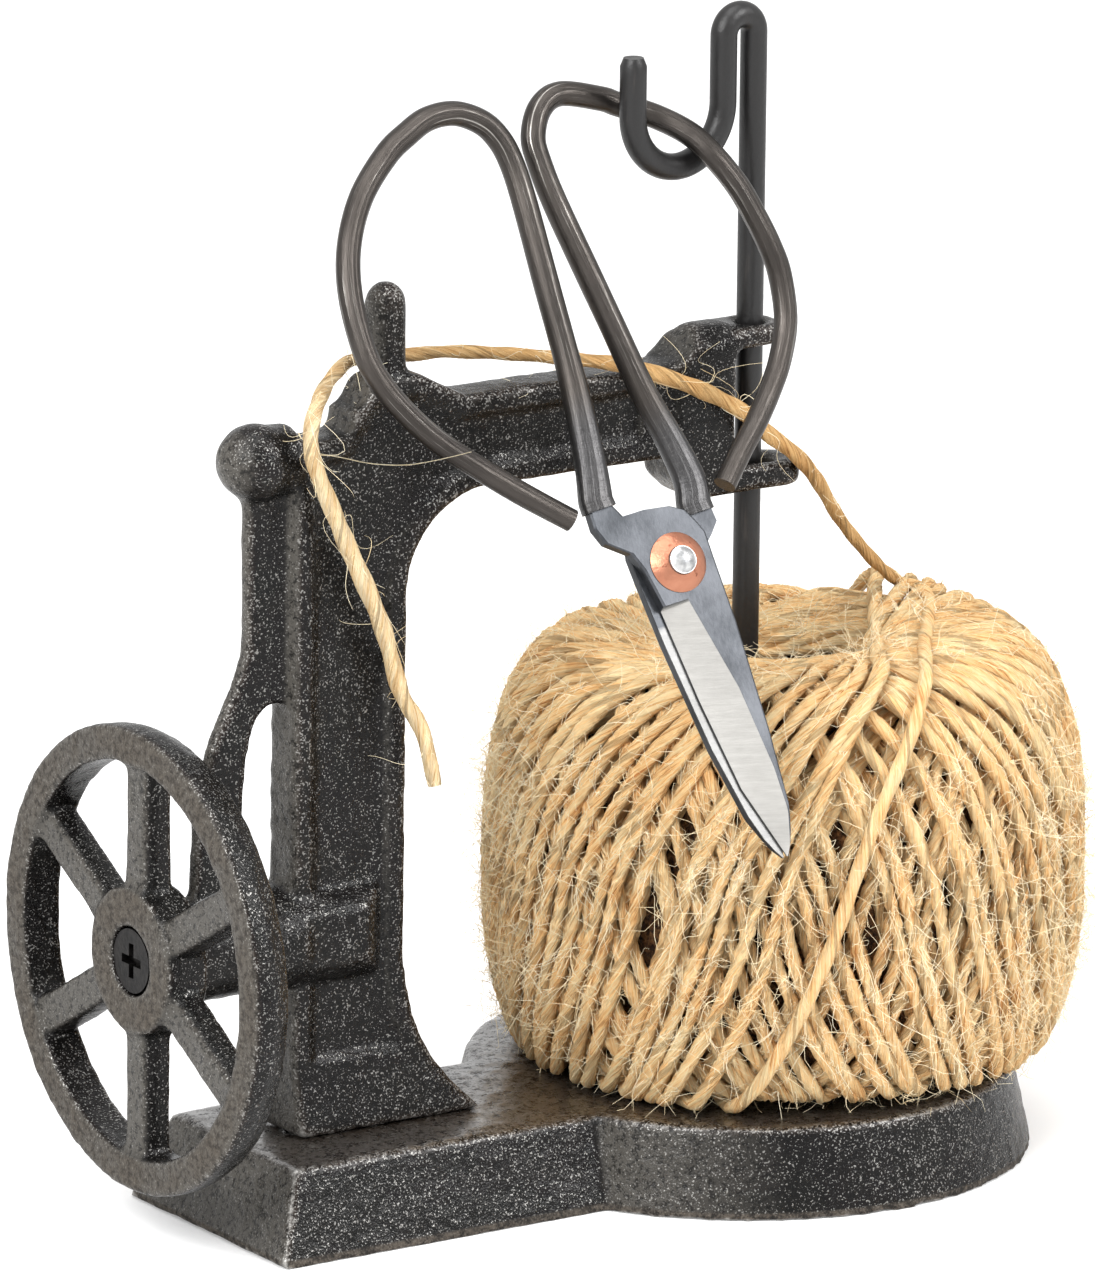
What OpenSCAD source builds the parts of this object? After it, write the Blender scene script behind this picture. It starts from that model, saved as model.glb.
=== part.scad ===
// Cast-iron string holder in the form of a small sewing machine: a flat base, a pillar with an arm,
// a spoked hand wheel, a lift-out rod with a hook, a ball of twine round the rod, and scissors on the hook.
// Millimetres, +Z up. The origin is on the rod's axis, on the surface that the base stands on.

/* [Base] */
// Height of the base casting
base_h = 13.5; // [11:0.5:18]
// Radius of the round end at the floor
base_round_r = 44.1; // [40:0.1:50]
// Width of the square end at the floor
base_w = 43.6; // [38:0.2:56]
// How far the square end runs past the pillar
base_margin = 13; // [8:0.5:18]
// How far the square end's sides lean in over the base's height
base_draft = 4.8; // [2:0.1:6]
// How far the round end's side leans in over the base's height
round_draft = 3.1; // [1:0.1:5]
// Depth of the rod's socket in the base
socket_depth = 8; // [5:0.5:9]

/* [Pillar and arm] */
// Rod axis to the pillar's near face
pillar_reach = 62.3; // [58:0.1:70]
// Width of the pillar
pillar_w = 19.5; // [17:0.5:24]
// Thickness of the pillar and the arm
plate_t = 8; // [7:0.5:10]
// Height of the arm's top edge
arm_top = 122; // [118:0.5:128]
// Depth of the arm from top edge to underside
arm_h = 14.2; // [12:0.1:17]
// Radius of the corner between pillar and arm
corner_r = 14.8; // [10:0.2:18]
// Width of the raised border round the sunk panel
border = 3.3; // [2.5:0.1:4.5]
// Depth of the sunk panel in each face
panel_depth = 1.2; // [0.5:0.1:2]
// How far the foot's toe reaches past the pillar's near face
foot_reach = 13.1; // [8:0.1:16]
// Radius of the foot's hollow flare
foot_r = 33; // [24:0.5:40]
// Width of the foot where it meets the base
foot_w = 12; // [11:0.5:16]
// Height of the foot's widening above the base
foot_h = 9.5; // [6:0.5:12]

/* [Spool pin and knob] */
// Spool pin's axis, measured from the pillar's near face
pin_inset = 2.1; // [1:0.1:4]
// Radius of the spool pin
pin_r = 3.2; // [2.5:0.1:4]
// Height of the spool pin above the arm's top edge
pin_h = 18; // [12:0.5:24]
// Height of the shoulder under the pin above the arm's top edge
shoulder_h = 4; // [2:0.5:6]
// Radius of the rear knob
knob_r = 5.8; // [5:0.1:7]
// How far the knob's centre stands behind the pillar
knob_out = 5; // [4:0.1:8]
// How far the knob's centre lies below the arm's top edge
knob_drop = 6.5; // [6:0.1:9]

/* [Head] */
// Length of the head block along the arm
head_l = 10.6; // [9:0.2:13]
// Thickness of the head block
head_t = 10; // [9.8:0.2:13]
// Gap between the head block and the rod's axis
head_gap = 5.2; // [4.5:0.1:6.5]
// Height of the head above the arm's top edge
head_rise = 5; // [4.6:0.2:9]
// Width of the slope on each side of the head's crown
crown_w = 3.4; // [1:0.2:4]
// How far the head hangs below the arm's underside
head_drop = 6.8; // [4:0.2:9]
// Height of the upper lug's top above the arm's top edge
upper_lug_rise = 4.2; // [3:0.2:4.6]
// Thickness of the upper lug
upper_lug_t = 3.5; // [3:0.1:6]
// Thickness of the lower lug
lower_lug_t = 4.2; // [3:0.2:6]
// Radius of the lugs' round ends
lug_r = 4.9; // [4.4:0.1:5.4]
// How far the lower lug's end lies beyond the rod's axis
lower_lug_reach = 3.5; // [2:0.1:6]
// Radius of the eye in the lower lug
eye_r = 3.2; // [2.8:0.1:3.6]
// How far the eye's centre lies beyond the rod's axis
eye_shift = 0.9; // [0.5:0.1:1.0]

/* [Axle boss and brace] */
// Height of the hand wheel's axle
axle_z = 43.5; // [40:0.5:48]
// Radius of the axle boss behind the wheel
boss_r = 7.6; // [6:0.2:9]
// How far the boss stands out behind the pillar
boss_out = 18.7; // [16:0.1:22]
// How far the bearing block stands out from the pillar's faces
block_rise = 2.5; // [1.5:0.1:3.5]
// Length of the bearing block along the pillar's faces
block_l = 14.6; // [10:0.2:16]
// Height of the bearing block
block_h = 13.2; // [10:0.2:15]
// Width of the block's bevelled edges
block_bevel = 2.7; // [1.5:0.1:3.5]
// Thickness of the curved brace
brace_t = 3; // [2.4:0.2:6]

/* [Hand wheel] */
// Outer radius of the wheel
wheel_r = 34.9; // [31:0.1:38]
// Width of the rim's face
rim_w = 5.5; // [4:0.1:7]
// Thickness of the rim
rim_t = 6.75; // [5:0.05:8]
// Bevel on the rim's back edge
rim_bevel = 1.6; // [0.5:0.1:2.5]
// Radius of the hub
hub_r = 11; // [9:0.5:13]
// Thickness of the hub
hub_t = 7.3; // [6:0.1:9]
// Number of spokes
spoke_count = 6; // [4:1:8]
// Width of a spoke
spoke_w = 6.4; // [4:0.2:8]
// Thickness of a spoke
spoke_t = 4.6; // [3:0.2:5]
// Depth of the screw head's recess in the hub
head_recess = 3; // [2.5:0.1:3.5]

/* [Fasteners and fits] */
// Radius of the wheel screw's head
wheel_head_r = 4.8; // [4.2:0.1:6]
// Thickness of the wheel screw's head
wheel_head_t = 2.3; // [1.8:0.1:2.4]
// Radius of the shoulder that the wheel turns on
shoulder_r = 3; // [2.7:0.1:3.6]
// Radius of the screws' threads
thread_r = 2.4; // [2:0.1:2.6]
// Length of thread in its hole
thread_l = 12; // [8:0.5:14]
// Radius of the foot screws' heads
foot_head_r = 4.4; // [3.6:0.1:4.8]
// Thickness of the foot screws' heads
foot_head_t = 3.2; // [2.4:0.1:4]
// Distance between the two foot screws
foot_pitch = 10.5; // [9:0.5:11.5]
// Radial clearance of turning and sliding fits
run_gap = 0.07; // [0.03:0.01:0.1]
// Gap between pieces that move past each other
side_gap = 0.3; // [0.2:0.05:0.5]

/* [Hook rod] */
// Diameter of the rod
rod_d = 4; // [3:0.1:4.4]
// Height of the hook's centre
hook_z = 160; // [155:0.5:170]
// Radius of the bend at the rod's top
bend_r = 2.9; // [2.6:0.1:4]
// Radius of the hook
hook_r = 8.65; // [7.5:0.05:10]
// Straight length between the hook and the top bend
return_l = 9.8; // [6:0.1:14]
// Straight length at the hook's free end
free_l = 8.8; // [5:0.1:12]
// Turn of the hook's plane towards the front
hook_yaw = 6; // [0:1:10]

/* [Twine] */
// Radius of the ball of twine
ball_r = 45; // [38:0.5:47]
// Height of the ball's top above the base
ball_h = 63.7; // [56:0.1:66]
// Radius of the hole through the ball
ball_hole_r = 12; // [11:0.5:15]
// How far the ball's axis lies from the rod
ball_shift = 7.5; // [5:0.1:8]
// Diameter of the twine
twine_d = 2.2; // [1.6:0.1:2.6]
// Number of loops in the outer layer
loops = 24; // [12:1:24]
// Turn that each loop leans round the ball on its way up
loop_lean = 36; // [10:1:50]

/* [Scissors] */
// Lean of the scissors away from the upright
lean = 26; // [24:1:32]
// Turn of the scissors towards the ball
turn = 6; // [4:1:8]
// Roll of the scissors in their own plane
roll = 11.2; // [8:0.2:14]
// Length of the blades from rivet to tip
blade_l = 45.6; // [38:0.2:50]
// Thickness of a blade
blade_t = 1.8; // [1.4:0.1:2.4]
// Width of the ground bevel along a cutting edge
bevel_w = 4.6; // [2:0.1:5]
// Bar radius where a handle leaves its blade
shank_r = 2; // [1.6:0.05:2.2]
// Bar radius at a handle's free end
loop_end_r = 1.7; // [1.3:0.05:1.9]
// Radius of the rivet
rivet_r = 2.1; // [1.6:0.1:2.6]
// Radius of the domed washers
washer_r = 4.5; // [3.6:0.1:5.2]
// Height of the domed washers
washer_h = 1.7; // [1.2:0.1:2.4]
// Height of the rivet's heads above the washers
rivet_head = 0.8; // [0.4:0.1:1.4]

/* [Hidden] */
$fn = 96;

cast_colour = "#2e2b29";
steel_colour = "#5d5c5a";
twine_colour = "#c39a5c";
past = 1;

pillar_near = -pillar_reach;
pillar_far = pillar_near - pillar_w;
arm_under = arm_top - arm_h;
base_end = -(pillar_reach + pillar_w + base_margin);
rod_r = rod_d / 2;
flare_z = base_h + sqrt(foot_r * foot_r - pow(foot_r - foot_reach, 2));
pin_x = pillar_near - pin_inset;
pin_top = arm_top + pin_h;
shoulder_top = arm_top + shoulder_h;
knob_x = pillar_far - knob_out;
knob_z = arm_top - knob_drop;
head_near = -head_gap;
head_far = head_near - head_l;
head_top = arm_top + head_rise;
head_low = arm_under - head_drop;
boss_end = pillar_far - boss_out;
wheel_face = boss_end - side_gap - hub_t;
pillar_mid = (pillar_far + pillar_near) / 2;
upper_lug_top = arm_top + upper_lug_rise;
socket_floor = base_h - socket_depth;
rod_foot = socket_floor + side_gap;

// A smooth curve through points, with the given number of steps between neighbours
function between(a, b, c, d, t) =
  b + (c - a) * t / 2 + (2 * a - 5 * b + 4 * c - d) * t * t / 2 + (3 * b - a - 3 * c + d) * t * t * t / 2;
function smooth(p, steps) = [
  for (i = [0 : len(p) - 2])
    for (j = [0 : steps - 1])
      between(p[max(i - 1, 0)], p[i], p[i + 1], p[min(i + 2, len(p) - 1)], j / steps),
  p[len(p) - 1]
];
function bezier(a, b, c, d, steps) = [
  for (j = [0 : steps])
    let (t = j / steps, s = 1 - t)
      s * s * s * a + 3 * s * s * t * b + 3 * s * t * t * c + t * t * t * d
];
function unit(v) = v / norm(v);

// Triangles of a round tube of rings, closed by a fan at each end
function tube_faces(rings, sides) = concat(
  [for (i = [0 : rings - 2], j = [0 : sides - 1])
    let (k = (j + 1) % sides) [i * sides + j, (i + 1) * sides + k, i * sides + k]],
  [for (i = [0 : rings - 2], j = [0 : sides - 1])
    let (k = (j + 1) % sides) [i * sides + j, (i + 1) * sides + j, (i + 1) * sides + k]],
  [for (j = [1 : sides - 2]) [0, j, j + 1]],
  [for (j = [1 : sides - 2]) [(rings - 1) * sides, (rings - 1) * sides + j + 1, (rings - 1) * sides + j]]
);

// One ring of a tube: centre, direction, a side vector, radius and number of sides
function ring(centre, along, side, r, sides) =
  let (a = unit(side - (side * along) * along), b = cross(along, a))
    [for (j = [0 : sides - 1]) centre + r * (cos(360 * j / sides) * a + sin(360 * j / sides) * b)];

// Direction of a path of points at one of them
function heading(p, i) = unit(p[min(i + 1, len(p) - 1)] - p[max(i - 1, 0)]);

// A tube along a path, whose radius runs evenly from r0 to r1
module tube(path, side, r0, r1, sides) {
  last = len(path) - 1;
  points = [
    for (i = [0 : last])
      each ring(path[i], heading(path, i), side, r0 + (r1 - r0) * i / last, sides)
  ];
  polyhedron(points, tube_faces(len(path), sides));
}

// Upright sheets: a flat outline in X and Z, thickened to both sides of the middle plane
module upright(t) {
  rotate([90, 0, 0]) linear_extrude(t, center = true) children();
}

// A round bar along X from one place to another
module bar_x(r, from, to) {
  translate([from, 0, 0]) rotate([0, 90, 0]) cylinder(r = r, h = to - from);
}

// Base: a round end under the ball and a square end under the pillar, both with drafted sides
module square_end() {
  intersection() {
    upright(base_w + past)
      polygon([[base_end, 0], [0, 0], [0, base_h], [base_end + base_draft, base_h]]);
    translate([base_end - past, 0, 0]) rotate([90, 0, 90]) linear_extrude(-base_end + 2 * past)
      polygon([[-base_w / 2, 0], [base_w / 2, 0], [base_w / 2 - base_draft, base_h],
               [base_draft - base_w / 2, base_h]]);
  }
}

module at_foot_screws() {
  for (s = [-1, 1]) translate([pillar_mid + s * foot_pitch / 2, 0, 0]) children();
}

module base_casting() {
  color(cast_colour) difference() {
    union() {
      cylinder(h = base_h, r1 = base_round_r, r2 = base_round_r - round_draft);
      square_end();
    }
    translate([0, 0, socket_floor]) cylinder(r = rod_r + run_gap, h = socket_depth + past);
    at_foot_screws() {
      translate([0, 0, -past]) cylinder(r = foot_head_r + side_gap, h = foot_head_t + side_gap + past);
      translate([0, 0, -past]) cylinder(r = thread_r + side_gap, h = base_h + 2 * past);
    }
  }
}

// Side view of pillar, arm, foot and shoulder, drawn in by inset on every edge
module side_view(inset = 0) {
  translate([pillar_far + inset, base_h + inset])
    square([pillar_w - 2 * inset, arm_top - shoulder_h - base_h - 2 * inset]);
  translate([pillar_near - pillar_w / 2, arm_under + inset])
    square([head_far - pillar_near + pillar_w / 2 + past - 2 * inset, arm_h - 2 * inset]);
  difference() {
    translate([pillar_near - inset - past, arm_under - corner_r])
      square([corner_r + inset + past, corner_r + inset + past]);
    translate([pillar_near + corner_r, arm_under - corner_r]) circle(corner_r + inset);
  }
  difference() {
    translate([pillar_near - inset - past, base_h + inset])
      square([foot_reach + past, flare_z - base_h - inset]);
    translate([pillar_near + foot_r, flare_z]) circle(foot_r + inset);
  }
  polygon([
    [pillar_far + inset, arm_under],
    [pillar_far + inset, arm_top - shoulder_h - inset],
    [pin_x - 2 * shoulder_h, arm_top - 0.9 * shoulder_h - inset],
    [pin_x - pin_r - past / 2, shoulder_top - inset],
    [pin_x + pin_r + past, shoulder_top - inset],
    [pin_x + 3 * shoulder_h, arm_top - inset],
    [pin_x + 3 * shoulder_h, arm_under + inset]
  ]);
}

// Cross-section of the pillar and foot, which widens towards the base
module stem_section() {
  polygon([
    [-foot_w / 2, base_h], [foot_w / 2, base_h], [plate_t / 2, base_h + foot_h],
    [plate_t / 2, pin_top], [-plate_t / 2, pin_top], [-plate_t / 2, base_h + foot_h]
  ]);
}

module panelled_frame() {
  difference() {
    intersection() {
      upright(foot_w + past) side_view();
      translate([pillar_far - past, 0, 0]) rotate([90, 0, 90])
        linear_extrude(head_near - pillar_far) stem_section();
    }
    for (s = [-1, 1])
      translate([0, s * plate_t / 2, 0]) upright(2 * panel_depth) intersection() {
        side_view(border);
        translate([pillar_far, base_h + foot_h + border / 2]) square([head_far - pillar_far, pin_top]);
      }
  }
}

module spool_pin() {
  translate([pin_x, 0, arm_top]) cylinder(r = pin_r, h = pin_h - pin_r);
  translate([pin_x, 0, pin_top - pin_r]) sphere(pin_r);
}

module rear_knob() {
  translate([knob_x, 0, knob_z]) sphere(knob_r);
  translate([0, 0, knob_z]) bar_x(0.88 * knob_r, knob_x, pillar_far + past);
}

// Brace from the knob down to the axle boss, bowed out behind the pillar
brace_w = 6.8;
brace_bow = 15.6;
brace_split = 79;
brace_turn = 89;
brace_low = 57;

module brace() {
  outer = bezier([pillar_far - brace_w, brace_turn], [pillar_far - brace_w, brace_split + 2.5],
                 [pillar_far - brace_bow, brace_split - 3], [pillar_far - brace_bow, brace_low], 10);
  inner = bezier([pillar_far - brace_w / 4, brace_split], [pillar_far - 0.8 * brace_w, brace_split],
                 [pillar_far - brace_w, brace_split - 5], [pillar_far - 1.1 * brace_w, brace_low], 8);
  upright(brace_t) difference() {
    polygon(concat(
      [[pillar_far + past, axle_z], [pillar_far + past, knob_z], [pillar_far - 0.6 * brace_w, knob_z],
       [pillar_far - brace_w, knob_z - knob_r]],
      outer,
      [[pillar_far - brace_bow, axle_z]]
    ));
    polygon(concat(
      [[pillar_far + 2 * past, axle_z + boss_r], [pillar_far + 2 * past, brace_split]],
      inner,
      [[pillar_far - brace_w, axle_z + boss_r]]
    ));
  }
}

// Bearing block: a bevelled swelling on both faces of the pillar, in line with the axle
module bearing_block() {
  flat = block_h / 2 - block_bevel;
  out = plate_t / 2 + block_rise;
  end = pillar_far + block_l;
  intersection() {
    translate([pillar_far - 2 * past, 0, axle_z]) rotate([90, 0, 90]) linear_extrude(block_l + 2 * past)
      polygon([[-plate_t / 2, -block_h / 2], [plate_t / 2, -block_h / 2], [out, -flat], [out, flat],
               [plate_t / 2, block_h / 2], [-plate_t / 2, block_h / 2], [-out, flat], [-out, -flat]]);
    translate([0, 0, axle_z - block_h]) linear_extrude(2 * block_h)
      polygon([[pillar_far - 2 * past, -out], [end - block_bevel, -out], [end, -plate_t / 2],
               [end, plate_t / 2], [end - block_bevel, out], [pillar_far - 2 * past, out]]);
  }
}

// Head block at the arm's end: a stepped front slope, a crowned top and a cut-back lower corner
module head() {
  crown_z = head_top - 0.7 * crown_w;
  intersection() {
    upright(head_t) polygon([
      [head_far, arm_top], [head_far + 0.45 * head_rise, arm_top + 0.3 * head_rise],
      [head_far + 0.9 * head_rise, head_top], [head_near, head_top], [head_near, head_low],
      [head_far + head_drop / 2, head_low], [head_far, arm_under - head_drop / 2]
    ]);
    translate([head_far - past, 0, 0]) rotate([90, 0, 90]) linear_extrude(head_l + 2 * past)
      polygon([
        [-head_t / 2, 0], [head_t / 2, 0], [head_t / 2, crown_z], [head_t / 2 - crown_w, head_top],
        [crown_w - head_t / 2, head_top], [-head_t / 2, crown_z]
      ]);
  }
}

// A flat lug with a round end, reaching from the head block to its place along the arm
module lug(reach, t) {
  linear_extrude(t) {
    translate([head_near - past, -lug_r]) square([reach - head_near + past, 2 * lug_r]);
    translate([reach, 0]) circle(lug_r);
  }
}

module arm_casting() {
  color(cast_colour) difference() {
    union() {
      panelled_frame();
      spool_pin();
      rear_knob();
      brace();
      translate([0, 0, axle_z]) bar_x(boss_r, boss_end, pillar_far + past);
      bearing_block();
      head();
      translate([0, 0, upper_lug_top - upper_lug_t]) lug(0, upper_lug_t);
      translate([0, 0, head_low]) lug(lower_lug_reach, lower_lug_t);
    }
    translate([0, 0, upper_lug_top - upper_lug_t - past])
      cylinder(r = rod_r + run_gap, h = upper_lug_t + 2 * past);
    translate([eye_shift, 0, head_low - past]) cylinder(r = eye_r, h = lower_lug_t + 2 * past);
    translate([0, 0, axle_z]) bar_x(thread_r + run_gap, boss_end - past, boss_end + thread_l + past);
    at_foot_screws() translate([0, 0, base_h - past])
      cylinder(r = thread_r + run_gap, h = thread_l + 2 * past);
  }
}

// Two screws up through the base into the pillar's foot
module foot_screws() {
  color(steel_colour) at_foot_screws() {
    translate([0, 0, side_gap]) cylinder(r = foot_head_r, h = foot_head_t);
    translate([0, 0, side_gap + foot_head_t / 2]) cylinder(r = thread_r, h = base_h + thread_l - foot_head_t);
  }
}

// Hand wheel, drawn lying on its face and then stood up behind the pillar
module at_axle() {
  translate([wheel_face, 0, axle_z]) rotate([0, 90, 0]) children();
}

module spoke() {
  root = hub_r - 2 * past;
  tip = wheel_r - rim_w + past;
  low = (rim_t - spoke_t) / 2;
  translate([root, 0, 0]) rotate([90, 0, 90]) linear_extrude(tip - root)
    polygon([[-0.4 * spoke_w, low], [0.4 * spoke_w, low], [spoke_w / 2, low + 0.4 * spoke_t],
             [spoke_w / 2, low + spoke_t], [-spoke_w / 2, low + spoke_t],
             [-spoke_w / 2, low + 0.4 * spoke_t]]);
}

module hand_wheel() {
  color(cast_colour) at_axle() difference() {
    union() {
      rotate_extrude() polygon([
        [wheel_r - rim_w, 0], [wheel_r, 0], [wheel_r, rim_t / 2], [wheel_r - rim_bevel, rim_t],
        [wheel_r - rim_w, rim_t]
      ]);
      cylinder(r = hub_r, h = hub_t);
      for (i = [0 : spoke_count - 1]) rotate([0, 0, 360 * i / spoke_count]) spoke();
    }
    translate([0, 0, -past]) cylinder(r = wheel_head_r + side_gap, h = head_recess + past);
    translate([0, 0, -past]) cylinder(r = shoulder_r + run_gap, h = hub_t + 2 * past);
  }
}

// Shoulder screw with a cross recess: the wheel turns on its shoulder
recess_l = 5.2;
recess_w = 1.3;
recess_depth = 1.2;

module wheel_screw() {
  face = head_recess - wheel_head_t - side_gap / 2;
  color(steel_colour) at_axle() difference() {
    union() {
      translate([0, 0, face]) cylinder(r = wheel_head_r, h = wheel_head_t);
      translate([0, 0, face + wheel_head_t / 2])
        cylinder(r = shoulder_r, h = hub_t + side_gap - face - wheel_head_t / 2);
      translate([0, 0, hub_t]) cylinder(r = thread_r, h = side_gap + thread_l);
    }
    for (a = [0, 90]) rotate([0, 0, a])
      translate([-recess_l / 2, -recess_w / 2, face - past]) cube([recess_l, recess_w, recess_depth + past]);
  }
}

// Rod with a hook: straight shaft, tight bend at the top, straight return, round hook and free end
return_x = -2 * bend_r;
hook_x = return_x - hook_r;
free_x = hook_x - hook_r;
bend_z = hook_z + return_l;

module rod_bend(r, from, to) {
  rotate([90, 0, 0]) rotate([0, 0, from]) rotate_extrude(angle = to - from) translate([r, 0]) circle(rod_r);
}

module hook_rod() {
  color("#262626") rotate([0, 0, hook_yaw]) {
    translate([0, 0, rod_foot]) cylinder(r = rod_r, h = bend_z - rod_foot);
    translate([-bend_r, 0, bend_z]) rod_bend(bend_r, 0, 180);
    translate([return_x, 0, hook_z]) cylinder(r = rod_r, h = return_l);
    translate([hook_x, 0, hook_z]) rod_bend(hook_r, 180, 360);
    translate([free_x, 0, hook_z]) cylinder(r = rod_r, h = free_l);
  }
}

// Ball of twine: its section is a rounded box, flat where it rests on the base, with a hole up the middle
ball_power = 0.8;
ball_sink = 4;
chord_room = 0.75;
rings_per_loop = 24;
loop_pitch = 360 / (loops + 0.6);
inner_line = ball_hole_r + twine_d / 2;
outer_line = ball_r - twine_d / 2;
low_line = base_h + side_gap + twine_d / 2;
top_line = base_h + ball_h - twine_d / 2;
mid_r = (inner_line + outer_line) / 2;
half_w = (outer_line - inner_line) / 2;
mid_z = (top_line + low_line - ball_sink) / 2;
half_h = top_line - mid_z;

function rounded(x) = sign(x) * pow(abs(x), ball_power);
function section(t, inset) = [
  mid_r + (half_w - inset) * rounded(cos(t)),
  max(mid_z + (half_h - inset) * rounded(sin(t)), low_line + inset)
];
function strand_turn(t) = loop_pitch * t / 360 + loop_lean / 2 * sin(t);
function about_axis(p, a) = [p[0] * cos(a), p[0] * sin(a), p[1]];
function strand(t) = about_axis(section(t, 0), strand_turn(t));
function strand_side(t) =
  let (d = section(t + 1, 0) - section(t - 1, 0)) about_axis(unit([d[1], -d[0]]), strand_turn(t));
function strand_heading(t) = unit(strand(t + 1) - strand(t - 1));

winding_from = 180;
winding_to = winding_from + 360 * loops;

// Least gap of the winding to itself: each point of a loop against the next loop, three to a ring
gap_step = 360 / rings_per_loop / 3;
winding_gap = min([
  for (t = [winding_from : gap_step : winding_to - 360 - 60])
    for (u = [t + 300 : gap_step : t + 420]) norm(strand(u) - strand(t))
]) - twine_d;
echo(least_gap_of_the_winding = winding_gap);

module at_ball() {
  translate([ball_shift, 0, 0]) children();
}

module twine_core() {
  inset = twine_d / 2 + chord_room;
  color("#8a6a3c") at_ball() rotate_extrude()
    polygon([for (t = [0 : 7.5 : 352.5]) section(t, inset)]);
}

module twine_winding() {
  steps = rings_per_loop * loops;
  points = [
    for (i = [0 : steps])
      let (t = winding_from + 360 * i / rings_per_loop)
        each ring(strand(t), strand_heading(t), strand_side(t), twine_d / 2, 6)
  ];
  color(twine_colour) at_ball() polyhedron(points, tube_faces(steps + 1, 6));
}

// Loose end of the twine: off the ball, past the lower lug, over the arm, round the spool pin and down
tail_route = [
  [33.8, 8, 79.6], [26, 4, 85], [17, 0, 93.3], [10, -3.6, 101.2], [4.3, -6.2, 106.3], [-0.9, -7, 110.1],
  [-6.3, -7, 114.6], [-13.5, -7, 118.6], [-20, -6.5, 121.4], [-24.5, -5.5, 123.1], [-29, -3.3, 124],
  [-38.8, 3, 125], [-49.8, 5, 126.4], [-56, 5.6, 126.6], [-62.5, 5.9, 126.9], [-67, 5.4, 127],
  [-71.5, 2.2, 126.4], [-75.4, -1, 125.3], [-79.5, -5, 123.4], [-81.8, -7.4, 121.2], [-82, -7.8, 118.5],
  [-80.8, -7.4, 115.1], [-75.6, -7, 104], [-69.4, -7, 91], [-65.8, -7, 80], [-63.5, -8, 75.4],
  [-62.7, -9, 72.5], [-61.6, -10, 65.8]
];

module twine_tail() {
  color(twine_colour) tube(smooth(tail_route, 2), [0, 1, 0], twine_d / 2, twine_d / 2, 8);
}

// Scissors, drawn in their own plane with the rivet at the origin and the tip straight down
hang_point = [28.5, 57.9, 0];
hang_offset = [1.9, -0.5, -5.1];
blade_gap = 0.05;

function turned(p, a) = [p[0] * cos(a) - p[1] * sin(a), p[0] * sin(a) + p[1] * cos(a), p[2]];
hang_at = turned([hook_x, 0, hook_z], hook_yaw) + hang_offset;

module at_scissors() {
  translate(hang_at) rotate([90 - lean, 0, -turn]) rotate([0, 0, roll]) translate(-hang_point) children();
}

// Seat of a handle's bar on its blade's tang, to the left of the rivet
front_seat = [-8.6, 11];
back_seat = [7.5, 6];
tang_w = 2 * shank_r;

// Outline of a blade with its spine on the right and its tang at a seat on the left
module blade_outline(seat) {
  polygon([
    [seat[0] - tang_w / 2, seat[1]], [seat[0] + tang_w / 2, seat[1]], [seat[0] + tang_w / 2 + 1, 9],
    [-2, 8.9], [2.2, 8.2], [4.4, 6.9], [5.4, 5], [6.2, 3], [6, -1], [5.6, -11],
    [4.2, -0.6 * blade_l], [2.8, -0.84 * blade_l], [1.2, -0.97 * blade_l], [0, -blade_l],
    [-3, -0.75 * blade_l], [-4.2, -0.44 * blade_l], [-4.8, -5.5], [-5.6, 0.5], [-6.6, 3.4],
    [seat[0] - 1.3, 6], [seat[0] - tang_w / 2 - 0.2, 8.5]
  ]);
}

// Back half's outline: the mirror image, with a shorter tang
module back_outline() {
  polygon([
    [back_seat[0] + tang_w / 2, back_seat[1]], [back_seat[0] - tang_w / 2, back_seat[1]], [4, 7.2],
    [1.5, 8.3], [-2.2, 8.2], [-4.4, 6.9], [-5.4, 5], [-6.2, 3], [-6.2, -1], [-6, -11],
    [-5, -0.6 * blade_l], [-3.4, -0.84 * blade_l], [-1.6, -0.97 * blade_l], [-0.4, -blade_l],
    [2.6, -0.75 * blade_l], [4, -0.44 * blade_l], [4.8, -5.5], [5.6, 0.5], [8, 2.4], [9.6, 4]
  ]);
}

// Wedge that grinds the bevel: it starts at the blade's outer face and falls to a thin cutting edge
edge_t = 0.35;

module bevel_cut() {
  slope = atan((blade_t - edge_t) / bevel_w);
  reach = 4 * bevel_w;
  edge_lean = atan(4.8 / (blade_l - 5.5));
  translate([-4.8, -5.5, edge_t]) rotate([0, 0, -edge_lean + 5]) rotate([0, -slope, 0])
    translate([-reach, -blade_l, 0]) cube([reach + bevel_w, blade_l, 5 * blade_t]);
}

module front_blade() {
  color(steel_colour) at_scissors() translate([0, 0, blade_gap]) difference() {
    linear_extrude(blade_t) blade_outline(front_seat);
    bevel_cut();
    translate([0, 0, -past]) cylinder(r = rivet_r + run_gap, h = blade_t + 2 * past);
  }
}

module back_blade() {
  color(steel_colour) at_scissors() translate([0, 0, -blade_gap]) difference() {
    translate([0, 0, -blade_t]) linear_extrude(blade_t) back_outline();
    rotate([0, 180, 0]) bevel_cut();
    translate([0, 0, -blade_t - past]) cylinder(r = rivet_r + run_gap, h = blade_t + 2 * past);
  }
}

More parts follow.
